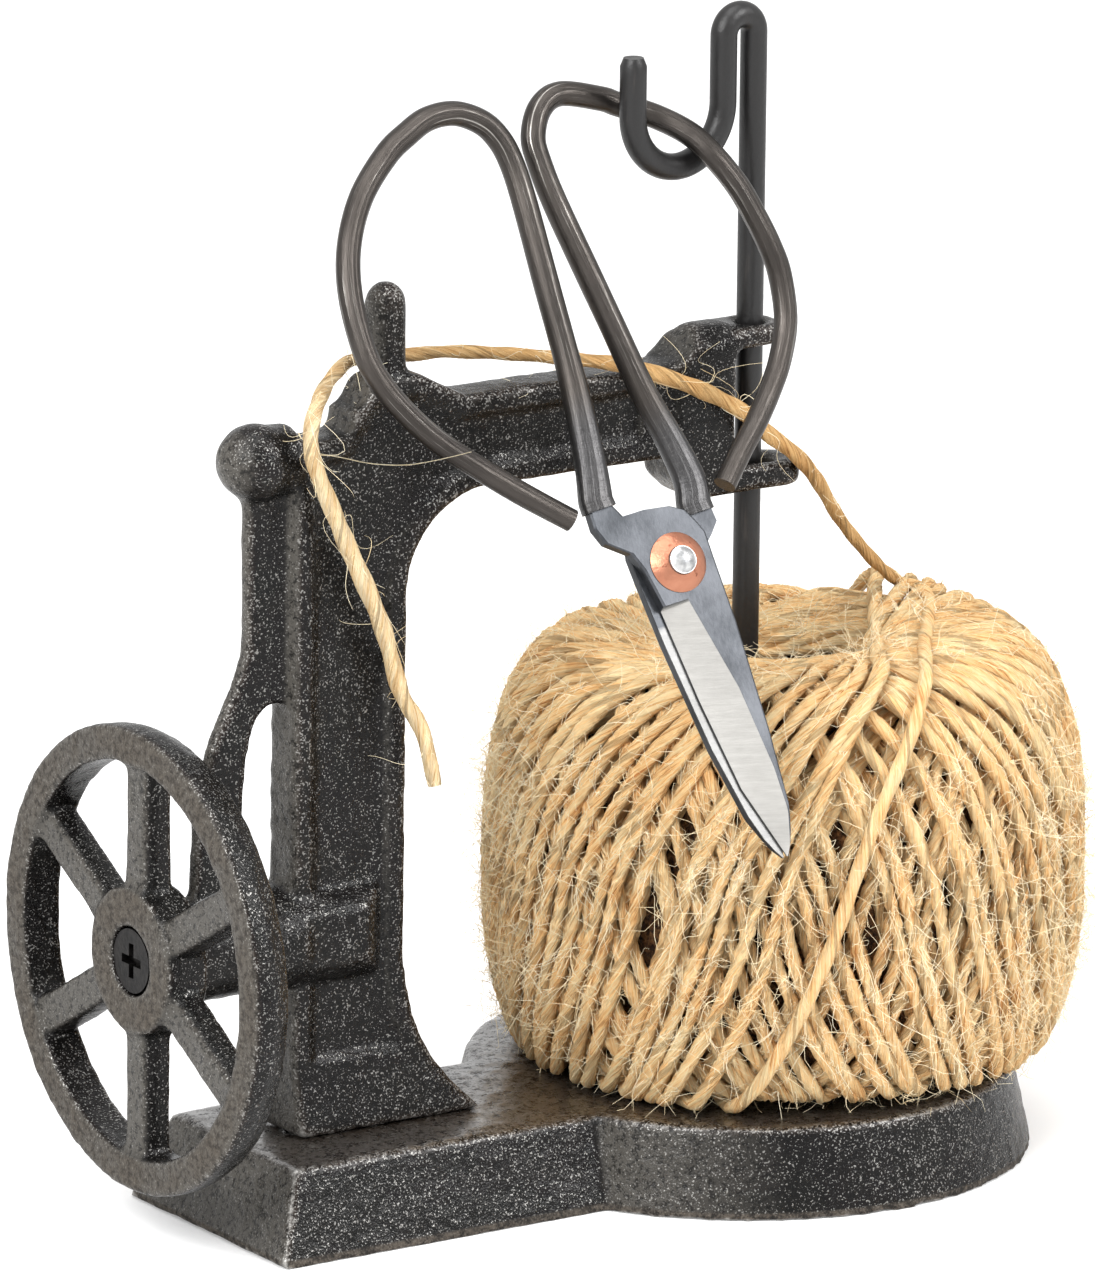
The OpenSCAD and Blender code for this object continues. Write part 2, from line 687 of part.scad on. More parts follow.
// Centre lines of the two handles: up from the tang, over the top, round the loop and back to the shank
front_loop = [
  [-8.6, 11, 1], [-8.6, 12.4, 1], [-6.9, 19, 1], [-4.8, 31, 1], [-3.1, 45, 1], [-1.6, 57, 1], [-1.2, 63, 1],
  [-1.7, 67, 1], [-3.4, 70.2, 1], [-7, 72.7, 1], [-11.5, 73.2, 1], [-15.7, 72, 1], [-20.2, 70, 1],
  [-26.5, 65.3, 1], [-31.3, 59, 1], [-34, 52, 1], [-35.1, 43.8, 1], [-34.3, 38.4, 1], [-32.2, 33.2, 1],
  [-29.2, 28.2, 1], [-25.2, 23.3, 1], [-19.5, 17, 1], [-13.4, 10.9, 1]
];
back_loop = [
  [7.5, 6, -1], [7.5, 7.4, -1], [8.3, 11.2, -1], [7.7, 17.5, -1], [6.5, 25, -1], [5.7, 36, -1], [5, 45, -1],
  [4.2, 56, -1], [4.2, 62, -1], [4.8, 66, -1], [7.6, 69.7, -1], [11.6, 70.8, -1], [17.7, 68.3, -1.2],
  [20.2, 66.7, -1.4], [25, 63.1, -0.6], [28.2, 58.8, 1.4], [29.9, 54.4, 2.6], [31.8, 49.4, 2.5],
  [33.1, 44.5, 1.8], [34, 39.6, 1.1], [34.2, 35, 0.4], [32.8, 28.5, -0.4], [29.7, 23.3, -0.8],
  [26.4, 19.6, -1], [22.5, 16, -1], [18.2, 12.6, -1], [13.5, 8.6, -1]
];

// The bar leaves its seat squarely, then follows the smooth curve
function handle_path(p, steps) = concat([p[0]], smooth([for (i = [1 : len(p) - 1]) p[i]], steps));

module front_handle() {
  color(steel_colour) at_scissors()
    tube(handle_path(front_loop, 3), [0, 0, 1], shank_r, loop_end_r, 12);
}

module back_handle() {
  color(steel_colour) at_scissors()
    tube(handle_path(back_loop, 2), [0, 0, 1], shank_r, loop_end_r, 12);
}

// Rivet through both blades, with a dome on each domed washer
washer_seat = blade_t + 3 * blade_gap;
rivet_reach = washer_seat + washer_h;

module rivet_dome() {
  rise = rivet_head;
  r = (rivet_r * rivet_r + rise * rise) / (2 * rise);
  translate([0, 0, rivet_reach]) intersection() {
    cylinder(r = rivet_r, h = rise);
    translate([0, 0, rise - r]) sphere(r);
  }
}

module pivot_rivet() {
  color("#c9c7c2") at_scissors() {
    translate([0, 0, -rivet_reach - past / 10]) cylinder(r = rivet_r, h = 2 * rivet_reach + past / 5);
    rivet_dome();
    rotate([0, 180, 0]) rivet_dome();
  }
}

module domed_washer() {
  r = (washer_r * washer_r + washer_h * washer_h) / (2 * washer_h);
  translate([0, 0, washer_seat]) difference() {
    intersection() {
      cylinder(r = washer_r, h = washer_h);
      translate([0, 0, washer_h - r]) sphere(r);
    }
    translate([0, 0, -past]) cylinder(r = rivet_r + run_gap, h = washer_h + 2 * past);
  }
}

module front_washer() {
  color("#b06a45") at_scissors() domed_washer();
}

module back_washer() {
  color("#b06a45") at_scissors() rotate([0, 180, 0]) domed_washer();
}

base_casting();
arm_casting();
foot_screws();
hand_wheel();
wheel_screw();
hook_rod();
twine_core();
twine_winding();
twine_tail();
front_blade();
front_handle();
back_blade();
back_handle();
pivot_rivet();
front_washer();
back_washer();
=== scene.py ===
import math

import bmesh
import bpy
import numpy as np
from mathutils import Matrix


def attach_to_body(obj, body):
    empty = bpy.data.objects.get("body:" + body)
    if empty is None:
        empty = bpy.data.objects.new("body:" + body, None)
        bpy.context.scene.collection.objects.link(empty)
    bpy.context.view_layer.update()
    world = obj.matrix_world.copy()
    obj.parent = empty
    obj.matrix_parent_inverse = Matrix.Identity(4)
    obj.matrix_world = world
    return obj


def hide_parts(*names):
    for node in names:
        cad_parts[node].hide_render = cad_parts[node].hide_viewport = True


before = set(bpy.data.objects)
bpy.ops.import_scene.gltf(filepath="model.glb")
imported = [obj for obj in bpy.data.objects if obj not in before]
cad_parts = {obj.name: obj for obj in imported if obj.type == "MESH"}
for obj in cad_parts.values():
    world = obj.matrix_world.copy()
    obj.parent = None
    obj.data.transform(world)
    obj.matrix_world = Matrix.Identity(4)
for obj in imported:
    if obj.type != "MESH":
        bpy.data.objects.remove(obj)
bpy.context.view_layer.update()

MM = 0.001
TURN = 2 * math.pi
SEED = 20


# Shader kit


def shade(red, green, blue):
    """A display colour from 0 to 255 as the linear colour that a socket takes."""
    screen = np.array([red, green, blue]) / 255
    linear = np.where(screen <= 0.04045, screen / 12.92, ((screen + 0.055) / 1.055) ** 2.4)
    return (*linear.tolist(), 1.0)


class Value:
    """A shader socket whose Python operators add Math nodes."""

    def __init__(self, nodes, socket):
        self.nodes, self.socket = nodes, socket

    def math(self, operation, *others):
        """A Math node of this value and others."""
        return self.nodes.math(operation, self, *others)

    def __add__(self, other):
        return self.math("ADD", other)

    def __sub__(self, other):
        return self.math("SUBTRACT", other)

    def __rsub__(self, other):
        return self.nodes.math("SUBTRACT", other, self)

    def __mul__(self, other):
        return self.math("MULTIPLY", other)

    def __pow__(self, other):
        return self.math("POWER", other)

    __radd__ = __add__
    __rmul__ = __mul__


class Nodes:
    """A node tree, and the one way in which nodes are added to it."""

    def __init__(self, tree):
        self.tree = tree

    def node(self, kind, settings=(), sockets=(), out=0):
        """Adds a node, sets its settings, then its sockets' values or links."""
        made = self.tree.nodes.new(kind)
        for key, value in dict(settings).items():
            if key == "stops":
                stops = made.color_ramp.elements
                while len(stops) < len(value):
                    stops.new(1.0)
                for stop, (position, colour) in zip(stops, value):
                    stop.position, stop.color = position, colour
            else:
                setattr(made, key, value)
        for key, value in dict(sockets).items():
            self.link(value, made.inputs[key])
        return Value(self, made.outputs[out])

    def link(self, value, socket):
        """Links a value to a socket, or sets the socket to a plain number or colour."""
        if isinstance(value, Value):
            self.tree.links.new(value.socket, socket)
        else:
            socket.default_value = value

    def math(self, operation, *values):
        """A Math node of values and numbers."""
        return self.node("ShaderNodeMath", {"operation": operation}, enumerate(values))


class Finish(Nodes):
    """One procedural material: a Principled shader and the nodes that feed it."""

    def __init__(self, name, **steady):
        self.material = bpy.data.materials.new(name)
        self.material.use_nodes = True
        super().__init__(self.material.node_tree)
        self.shader = self.tree.nodes["Principled BSDF"]
        self.place = self.node("ShaderNodeTexCoord", out="Object")
        self.feed(**steady)

    def noise(self, size, detail=2.0, roughness=0.5, at=None):
        """Cloudy noise from 0 to 1 whose lumps are about this size, in metres or in the units of at."""
        sockets = {"Vector": at or self.place, "Scale": 1 / size, "Detail": detail, "Roughness": roughness}
        return self.node("ShaderNodeTexNoise", (), sockets)

    def step(self, value, low, high):
        """A smooth step from 0 below low to 1 above high."""
        sockets = {0: value, 1: low, 2: high, 3: 0.0, 4: 1.0}
        return self.node("ShaderNodeMapRange", {"interpolation_type": "SMOOTHSTEP"}, sockets)

    def mix(self, factor, first, second):
        """The first colour where the factor is 0, the second where it is 1."""
        sockets = {0: factor, 6: first, 7: second}
        return self.node("ShaderNodeMix", {"data_type": "RGBA"}, sockets, out=2)

    def stretch(self, x, y, z):
        """Object coordinates scaled along the three axes."""
        return self.node("ShaderNodeMapping", (), {"Vector": self.place, "Scale": (x, y, z)})

    def strand(self):
        """Length along a strand in centimetres and the angle round it, from the piece's UV map."""
        uv = self.node("ShaderNodeUVMap", {"uv_map": "along"})
        u = self.node("ShaderNodeSeparateXYZ", (), {0: uv}, out="X")
        v = self.node("ShaderNodeSeparateXYZ", (), {0: uv}, out="Y") * TURN
        return u, v

    def wrapped(self, u, v, pace):
        """A place on a cylinder: cosine and sine of the angle v, and the length u times a pace."""
        sockets = {"X": v.math("COSINE"), "Y": v.math("SINE"), "Z": u * pace}
        return self.node("ShaderNodeCombineXYZ", (), sockets)

    def attribute(self, name):
        """A value that the mesh holds at each of its points."""
        return self.node("ShaderNodeAttribute", {"attribute_name": name}, out="Fac")

    def bump(self, height, distance):
        """A height from 0 to 1 that stands this far, in metres, as the shader's normal."""
        self.feed(Normal=self.node("ShaderNodeBump", (), {"Height": height, "Distance": distance}))

    def feed(self, **values):
        """Links or sets the shader's sockets; an underscore stands for a space."""
        for key, value in values.items():
            self.link(value, self.shader.inputs[key.replace("_", " ")])


# Mesh kit


def put(name, data):
    """A new object in the scene that shows some data."""
    made = bpy.data.objects.new(name, data)
    bpy.context.scene.collection.objects.link(made)
    return made


def read(rows, key, width, kind=float):
    """One property of all of a mesh's rows, as an array."""
    values = np.empty(len(rows) * width, dtype=kind)
    rows.foreach_get(key, values)
    return values.reshape(-1, width)


def put_mesh(name, points, faces, finish, uv=None, sharp=None, **attributes):
    """A mesh object from an array of points in millimetres, with values per point for UV and attributes.
    Edges bent by more than the sharp angle, in degrees, stay sharp."""
    mesh = bpy.data.meshes.new(name)
    mesh.from_pydata((points.reshape(-1, 3) * MM).tolist(), [], faces)
    mesh.shade_smooth()
    if sharp is not None:
        mesh.set_sharp_from_angle(angle=math.radians(sharp))
    if uv is not None:
        corner = read(mesh.loops, "vertex_index", 1, np.int32).ravel()
        mesh.uv_layers.new(name="along").data.foreach_set("uv", uv.reshape(-1, 2)[corner].ravel())
    for key, value in attributes.items():
        mesh.attributes.new(key, "FLOAT", "POINT").data.foreach_set("value", value.ravel())
    mesh.materials.append(finish.material)
    return put(name, mesh)


def attach(piece, body, slot, *nodes):
    """Says which body a piece rides on and which CAD nodes it stands for. The slot, whose finish
    it takes, is not used.
    """
    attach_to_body(piece, body)
    if nodes:
        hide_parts(*nodes)


def grid_faces(rows, columns):
    """Quads of a grid whose columns close on themselves, rows in order."""
    i, j = np.meshgrid(np.arange(rows - 1), np.arange(columns), indexing="ij")
    k = (j + 1) % columns
    quads = np.stack([i * columns + j, i * columns + k, (i + 1) * columns + k, (i + 1) * columns + j], -1)
    return quads.reshape(-1, 4).tolist()


def capped(rows, columns):
    """The quads of a tube and one face at each of its ends."""
    first = list(range(columns))[::-1]
    last = list(range((rows - 1) * columns, rows * columns))
    return grid_faces(rows, columns) + [first, last]


def unit(v):
    """Vectors of length 1 in the same directions."""
    return v / np.linalg.norm(v, axis=-1, keepdims=True)


def smooth_path(points, steps):
    """A Catmull-Rom curve through points: the cubic between two of them leaves each along the line
    between its two neighbours, and is sampled at equal steps of its parameter."""
    p = np.asarray(points, float)
    a, b, c, d = np.vstack([p[:1], p[:-2]]), p[:-1], p[1:], np.vstack([p[2:], p[-1:]])
    t = (np.arange(steps) / steps)[None, :, None]
    a, b, c, d = (x[:, None, :] for x in (a, b, c, d))
    square = 2 * a - 5 * b + 4 * c - d
    cube = 3 * b - a - 3 * c + d
    curve = b + (c - a) * t / 2 + square * t**2 / 2 + cube * t**3 / 2
    return np.vstack([curve.reshape(-1, 3), p[-1:]])


def tube(path, radius, side, sides, turn=0.0, lobe=0.0):
    """A ring of points carried along a path. Its first point is turned from the side direction by an
    angle per ring, and its radius swells at two opposite places, as in a cord of two plies."""
    along = unit(np.gradient(path, axis=0))
    across = unit(side - (side * along).sum(-1, keepdims=True) * along)
    over = np.cross(along, across)
    ring = TURN * np.arange(sides) / sides
    angle = ring[None, :] + np.broadcast_to(turn, len(path))[:, None]
    reach = np.broadcast_to(radius, len(path))[:, None] * (1 + lobe * np.cos(2 * ring))[None, :]
    spread = across[:, None] * np.cos(angle)[..., None] + over[:, None] * np.sin(angle)[..., None]
    return path[:, None] + reach[..., None] * spread


def run_length(path):
    """Length along a path up to each of its points."""
    return np.concatenate([[0], np.cumsum(np.linalg.norm(np.diff(path, axis=0), axis=1))])


def even_path(path, step):
    """The points of a path at equal steps of its length."""
    length = run_length(path)
    at = np.arange(0, length[-1], step)
    return np.stack([np.interp(at, length, path[:, axis]) for axis in range(3)], -1)


def tube_uv(path, sides):
    """Length along a tube in centimetres, and share of the way round it."""
    u = np.repeat(run_length(path)[:, None] / 10, sides, axis=1)
    v = np.repeat(np.arange(sides)[None, :] / sides, len(path), axis=0)
    return np.stack([u, v], -1)


def put_tube(name, path, rings, finish, **more):
    """The mesh of rings along a path, closed at both ends, with UV along and round it."""
    return put_mesh(name, rings, capped(*rings.shape[:2]), finish, tube_uv(path, rings.shape[1]), **more)


def raised(x, power):
    """A number's size to a power, with its own sign."""
    return np.sign(x) * np.abs(x) ** power


LATTICE = 32


def lumps(points, size, seed):
    """Value noise from -1 to 1: random numbers on a cubic lattice, blended with smooth weights."""
    lattice = np.random.default_rng(seed).uniform(-1, 1, (LATTICE, LATTICE, LATTICE))
    q = points / size
    low = np.floor(q).astype(int)
    f = q - low
    f = f * f * (3 - 2 * f)
    total = np.zeros(len(points))
    for corner in np.ndindex(2, 2, 2):
        i, j, k = ((low + corner) % LATTICE).T
        total += lattice[i, j, k] * np.prod(np.where(corner, f, 1 - f), axis=1)
    return total


# Camera and light

AIM = np.array([-35.392, 0, 82.430]) * MM
AZIMUTH, ELEVATION, ROLL = np.radians([-33.736, 14.702, 0.624])
DISTANCE = 2.0
FOCAL_PIXELS = 13559.7
IMAGE_HEIGHT = 1273
SENSOR = 36
WORLD_LIGHT = 0.6
WHITE = (1, 1, 1, 1)
BLACK = (0, 0, 0, 1)
FLOOR_R = 4000
FLOOR_Z = -0.05
FLOOR_SIDES = 64

back = np.array([
    math.sin(AZIMUTH) * math.cos(ELEVATION),
    -math.cos(AZIMUTH) * math.cos(ELEVATION),
    math.sin(ELEVATION),
])
level = np.array([math.cos(AZIMUTH), math.sin(AZIMUTH), 0])
upright = np.cross(back, level)
right = level * math.cos(ROLL) + upright * math.sin(ROLL)
up = upright * math.cos(ROLL) - level * math.sin(ROLL)


def pose(x, y, z, place):
    """The matrix of an object at a place, with its own axes along x, y and z."""
    matrix = np.eye(4)
    matrix[:3] = np.stack([x, y, z, place], -1)
    return Matrix(matrix.tolist())


def place_camera():
    """A long lens at the photo's viewing angle, with the photo's frame."""
    lens = bpy.data.cameras.new("camera")
    lens.sensor_fit = "VERTICAL"
    lens.sensor_height = SENSOR
    lens.lens = SENSOR * FOCAL_PIXELS / IMAGE_HEIGHT
    lens.clip_start, lens.clip_end = 0.1, 50
    camera = put("camera", lens)
    camera.matrix_world = pose(right, up, back, AIM + DISTANCE * back)
    bpy.context.scene.camera = camera


def place_lamp(name, toward, distance, size, power):
    """A square soft lamp that looks at the object from the given direction."""
    data = bpy.data.lights.new(name, "AREA")
    data.size, data.energy = size, power
    z = unit(np.asarray(toward, float))
    x = unit(np.cross([0, 0, 1], z))
    put(name, data).matrix_world = pose(x, np.cross(z, x), z, AIM + distance * z)


def place_studio():
    """The camera, three soft lamps and a world that is white to the camera and in reflections, and
    lights the rest less."""
    place_camera()
    place_lamp("key", 0.9 * back - 0.6 * level + [0, 0, 0.5], distance=1.6, size=0.9, power=26)
    place_lamp("right", [0.5, -0.75, 0.6], distance=1.6, size=0.7, power=19)
    place_lamp("top", 0.15 * back + [0, 0, 1.0], distance=1.5, size=1.0, power=14)
    world = bpy.data.worlds.new("studio")
    bpy.context.scene.world = world
    world.use_nodes = True
    sky = Nodes(world.node_tree)
    shown = sky.node("ShaderNodeLightPath", out="Is Camera Ray")
    for ray in ["Is Glossy Ray", "Is Transmission Ray"]:
        shown = shown.math("MAXIMUM", sky.node("ShaderNodeLightPath", out=ray))
    strength = sky.node("ShaderNodeMapRange", (), {"Value": shown, "To Min": WORLD_LIGHT})
    background = sky.tree.nodes["Background"].inputs
    sky.link(strength, background["Strength"])
    sky.link(WHITE, background["Color"])
    bpy.context.scene.view_settings.view_transform = "Standard"


def place_floor():
    """A wide disc under the base, pale, which adds a little of its own light where the camera sees it."""
    paper = Finish("pale_floor", Roughness=0.9)
    tone = paper.noise(0.4, 3)
    paper.feed(Base_Color=paper.mix(tone, (0.80, 0.80, 0.80, 1), (0.82, 0.82, 0.82, 1)))
    seen = paper.node("ShaderNodeLightPath", out="Is Camera Ray")
    paper.feed(Emission_Strength=0.2, Emission_Color=paper.mix(seen, BLACK, WHITE))
    angle = TURN * np.arange(FLOOR_SIDES) / FLOOR_SIDES
    rim = np.stack([FLOOR_R * np.cos(angle), FLOOR_R * np.sin(angle), np.full(FLOOR_SIDES, FLOOR_Z)], -1)
    floor = put_mesh("floor", rim, [list(range(FLOOR_SIDES))], paper)


place_studio()
place_floor()


# Twine

TWINE_R = 1.1
PLY_PITCH = 15.0
LOBE = 0.07
SIDEWAYS = np.array([0, 1.0, 0])

TAIL_STEPS = 26
TAIL_SIDES = 16
TAIL_ROUTE = [
    [33.8, 8, 79.6], [26, 4, 85], [17, 0, 93.3], [10, -3.6, 101.2], [4.3, -6.2, 106.3],
    [-0.9, -7, 110.1], [-6.3, -7, 114.6], [-13.5, -7, 118.6], [-20, -6.5, 121.4], [-24.5, -5.5, 123.1],
    [-29, -3.3, 124], [-38.8, 3, 125], [-49.8, 5, 126.4], [-56, 5.6, 126.6], [-62.5, 5.9, 126.9],
    [-67, 5.4, 127], [-71.5, 2.2, 126.4], [-75.4, -1, 125.3], [-79.5, -5, 123.4], [-81.8, -7.4, 121.2],
    [-82, -7.8, 118.5], [-80.8, -7.4, 115.1], [-75.6, -7, 104], [-69.4, -7, 91], [-65.8, -7, 80],
    [-63.5, -8, 75.4], [-62.7, -9, 72.5], [-61.6, -10, 65.8],
]
# Share of the way along, and the girth there as a share of the twine's
TAIL_GIRTH = [
    [0, 0.8], [0.1, 0.86], [0.22, 1.1], [0.33, 1.12], [0.45, 0.9], [0.58, 0.9], [0.68, 1.0], [0.82, 1.25],
    [0.92, 1.1], [1, 0.98],
]
TAIL_SLUB, TAIL_SLUB_SIZE = 0.07, 3.0
SPOT_GAP = 0.5
SMOOTH_SPOTS = 40

STRAY_START = [-81.6, -8.4, 118.0]
# Steps to the right and upwards in the photo, from the start
STRAY_RUN = [[0, 0], [3.5, -0.6], [8, -1.5], [13, -1.7], [17.5, -1.0], [22.5, 0.2]]
STRAY_R = 0.07
STRAY_STEPS = 8
STRAY_SIDES = 4

HAIR_RINGS = 6
HAIR_SIDES = 3
HAIR_R, HAIR_THINS = 0.05, 0.5
HAIR_ROOT = 0.8
HAIR_ALONG = [0.3, 2.0]
HAIR_OUT, HAIR_ASKEW, HAIR_DROOP = 0.5, 0.7, 0.6
HAIR_BEND = [0.2, 1.0]
SHORTEST = 0.22


def twine_finish(name, pale, tan, dark, groove_shade=0.0, golden=0.0):
    """Jute: fibres run along the plies as stretched noise round and along the strand, with valleys
    between the plies darkened by a share as painted shade, and slow changes of tone along the
    strand, which may start more golden."""
    jute = Finish(name, Roughness=0.8, Specular_IOR_Level=0.3)
    u, v = jute.strand()
    fibres = jute.noise(0.32, 4, 0.72, at=jute.wrapped(u, v, 0.35))
    slow = jute.noise(0.014, 2)
    blotch = jute.noise(0.004, 2)
    valley = (0.5 - (v * 2).math("COSINE") * 0.5) ** 4.0
    tone = jute.step(fibres + slow * 0.2 + blotch * 0.3, 0.48, 0.92)
    body = jute.node("ShaderNodeValToRGB", {"stops": [(0.0, dark), (0.4, tan), (1.0, pale)]}, {0: tone})
    if golden:
        stops = [(0.0, shade(150, 98, 48)), (0.4, shade(214, 160, 94)), (1.0, shade(240, 194, 128))]
        deep = jute.node("ShaderNodeValToRGB", {"stops": stops}, {0: tone})
        body = jute.mix((1 - jute.step(u, 9, 16)) * golden, body, deep)
    # Painted shade: the valleys between the plies are darkened towards the dark colour by this share.
    if groove_shade:
        body = jute.mix(valley * groove_shade, body, dark)
    jute.feed(Base_Color=body)
    jute.bump(fibres - valley * 0.3, 0.0013)
    return jute


tail_jute = twine_finish(
    "tail_jute", shade(250, 230, 190), shade(238, 204, 150), shade(176, 124, 68), groove_shade=0.25, golden=0.85)
ball_jute = twine_finish(
    "ball_jute", shade(255, 228, 176), shade(254, 202, 135), shade(192, 118, 57), groove_shade=0.05)
hair_jute = twine_finish(
    "hair_jute", shade(255, 244, 214), shade(252, 232, 190), shade(236, 204, 150))


def build_hairs(name, roots, heading, outward, count, longest, seed,
                bent=1.0, steps=HAIR_RINGS, rarity=2.2, thick=HAIR_R):
    """Stray fibres: from random points of a strand each one leaves along the strand and outwards, then
    bends by the square of its length, as a thin three-sided thread that narrows to its tip. The higher
    their rarity, the fewer of them are long."""
    rng = np.random.default_rng(seed)
    pick = rng.integers(0, len(roots), count)
    spread = unit(rng.normal(size=(count, 3)))
    sign = rng.choice([-1.0, 1.0], (count, 1))
    along = heading[pick] * sign * rng.uniform(*HAIR_ALONG, (count, 1))
    lean = unit(along + outward[pick] * HAIR_OUT + spread * HAIR_ASKEW)
    curl = unit(rng.normal(size=(count, 3)) - outward[pick] * HAIR_DROOP)
    wave = unit(rng.normal(size=(count, 3)))
    reach = longest * rng.uniform(SHORTEST, 1, (count, 1)) ** rarity
    s = np.linspace(0, 1, steps)[None, :, None]
    bend = reach * rng.uniform(*HAIR_BEND, (count, 1)) * bent
    path = roots[pick][:, None] + lean[:, None] * reach[:, None] * s
    path = path + bend[:, None] * (curl[:, None] * s**2 + wave[:, None] * s * (1 - s) * (1 - 2 * s) * 3)
    along = unit(np.gradient(path, axis=1))
    across = unit(np.cross(along, spread[:, None]))
    over = np.cross(along, across)
    angle = (TURN * np.arange(HAIR_SIDES) / HAIR_SIDES)[None, None, :, None]
    width = thick * (1 - HAIR_THINS * s)[..., None]
    spokes = across[:, :, None] * np.cos(angle) + over[:, :, None] * np.sin(angle)
    rings = path[:, :, None] + width * spokes
    each = HAIR_SIDES * steps
    start = each * np.arange(count)[:, None, None]
    quads = (np.array(grid_faces(steps, HAIR_SIDES))[None] + start).reshape(-1, 4)
    ends = (np.array([[2, 1, 0], [each - 3, each - 2, each - 1]])[None] + start).reshape(-1, 3)
    uv = np.repeat(np.stack([pick * 0.37, np.full(count, 0.1)], -1)[:, None], each, axis=1)
    return put_mesh(name, rings, quads.tolist() + ends.tolist(), hair_jute, uv)


def build_tail():
    """The loose end: a two-ply ring carried along the tail's route, turned once per ply pitch, thin
    where it leaves the ball and fullest before its free end."""
    path = smooth_path(TAIL_ROUTE, TAIL_STEPS)
    length = run_length(path)
    girth = np.interp(length / length[-1], *np.transpose(TAIL_GIRTH))
    radius = TWINE_R * (girth + TAIL_SLUB * lumps(path, TAIL_SLUB_SIZE, SEED + 7))
    rings = tube(path, radius, SIDEWAYS, TAIL_SIDES, TURN * length / PLY_PITCH, LOBE)
    piece = put_tube("twine_loose_end", path, rings, tail_jute)
    attach(piece, "frame", "jute", "twine_tail")
    spots = even_path(path, SPOT_GAP)[SMOOTH_SPOTS:]
    heading = unit(np.gradient(spots, axis=0))
    free = np.random.default_rng(SEED + 8).normal(size=spots.shape)
    outward = unit(free - (free * heading).sum(-1, keepdims=True) * heading)
    hairs = build_hairs(
        "tail_hairs", spots + HAIR_ROOT * TWINE_R * outward, heading, outward,
        count=420, longest=13, seed=SEED + 9, bent=1.7, steps=12, rarity=7, thick=0.045)
    attach(hairs, "frame", "jute")
    stray = smooth_path(np.array(STRAY_START) + [right * a + up * b for a, b in STRAY_RUN], STRAY_STEPS)
    fibre = put_tube("tail_long_fibre", stray, tube(stray, STRAY_R, SIDEWAYS, STRAY_SIDES), hair_jute)
    attach(fibre, "frame", "jute")


# Ball of twine

BALL_X = 7.5
MID_R, MID_Z = 28.5, 43.5
HALF_W, HALF_H = 15.75, 33.85
BASE_TOP = 13.5
SEAT_GAP = 0.4
BALL_POWER = 0.8
HOLE_POWER = 0.15

LAYERS = 3
LOOPS = 38
RINGS = 300
STRAND_R = 1.16
TURN_GIRTH, LAST_GIRTH = 0.96, 0.95
BALL_SIDES = 8
BALL_PITCH = 19.0
BALL_LOBE = 0.05
SLUB, SLUB_GAP = 0.07, 4.0
UNEVEN = 0.03
LAYER_DROP = 1.5
PILE_DROP = 1.1
SHOULDER = 0.55
HOLE_PASS, HOLE_SPREAD = 122, 40
FRONT = math.radians(-121)
LEAN, LEAN_SPREAD = 0.1, 0.045
WANDER = 0.042
LAST_RISE = 0.6
LAST_LOOPS = 2.6
RISE_LOOPS = 0.3

LAST_STEPS = 16
LAST_SIDES = 12
# Angle round the ball's section, angle round its axis, and depth below the outer turns
LAST_RUN = [
    [90, 15, -1.9], [90, 10, -1.6], [95.5, 0, -1.4], [106, -16.5, -1.4], [111, -40, -1.4],
    [101, -66, -1.5], [88, -81, -1.6], [70, -90, -1.6], [45, -99, -1.6], [20, -108, -1.6],
    [-5, -117, -1.6], [-30, -126, -1.6], [-55, -134, -1.5], [-78, -141, -0.6], [-98, -150, 0.8],
]

HAIR_SHARES = 4
SHARE_HAIRS = 4600
LONGEST_HAIR = 8
# Distances from the axis between which the fibres grow from none to the most
FLUFF_REACH = [12, 46]
# Height, and the share of the points there that may carry a fibre
FLUFF = [[15, 0.04], [30, 0.9], [52, 1], [70, 0.2]]

HEART_RIDGES = 104
HEART_COLUMNS = 520
HEART_ROWS = 96
HEART_LEAN = 0.35
HEART_SINK = 0.3


def ball_section(t, inset):
    """The ball's cut through its axis: an oval of raised sine and cosine, flatter on the side of the
    hole and where it sits."""
    r = MID_R + (HALF_W - inset) * raised(np.cos(t), BALL_POWER)
    flat = np.where(np.cos(t) < 0, HOLE_POWER, BALL_POWER)
    low = BASE_TOP + STRAND_R + SEAT_GAP + np.maximum(inset, 0)
    z = np.maximum(MID_Z + (HALF_H - inset) * raised(np.sin(t), flat), low)
    return r, z


def on_ball(r, around, z):
    """Points at a distance from the ball's axis, an angle round it and a height."""
    return np.stack([BALL_X + r * np.cos(around), r * np.sin(around), z], -1)


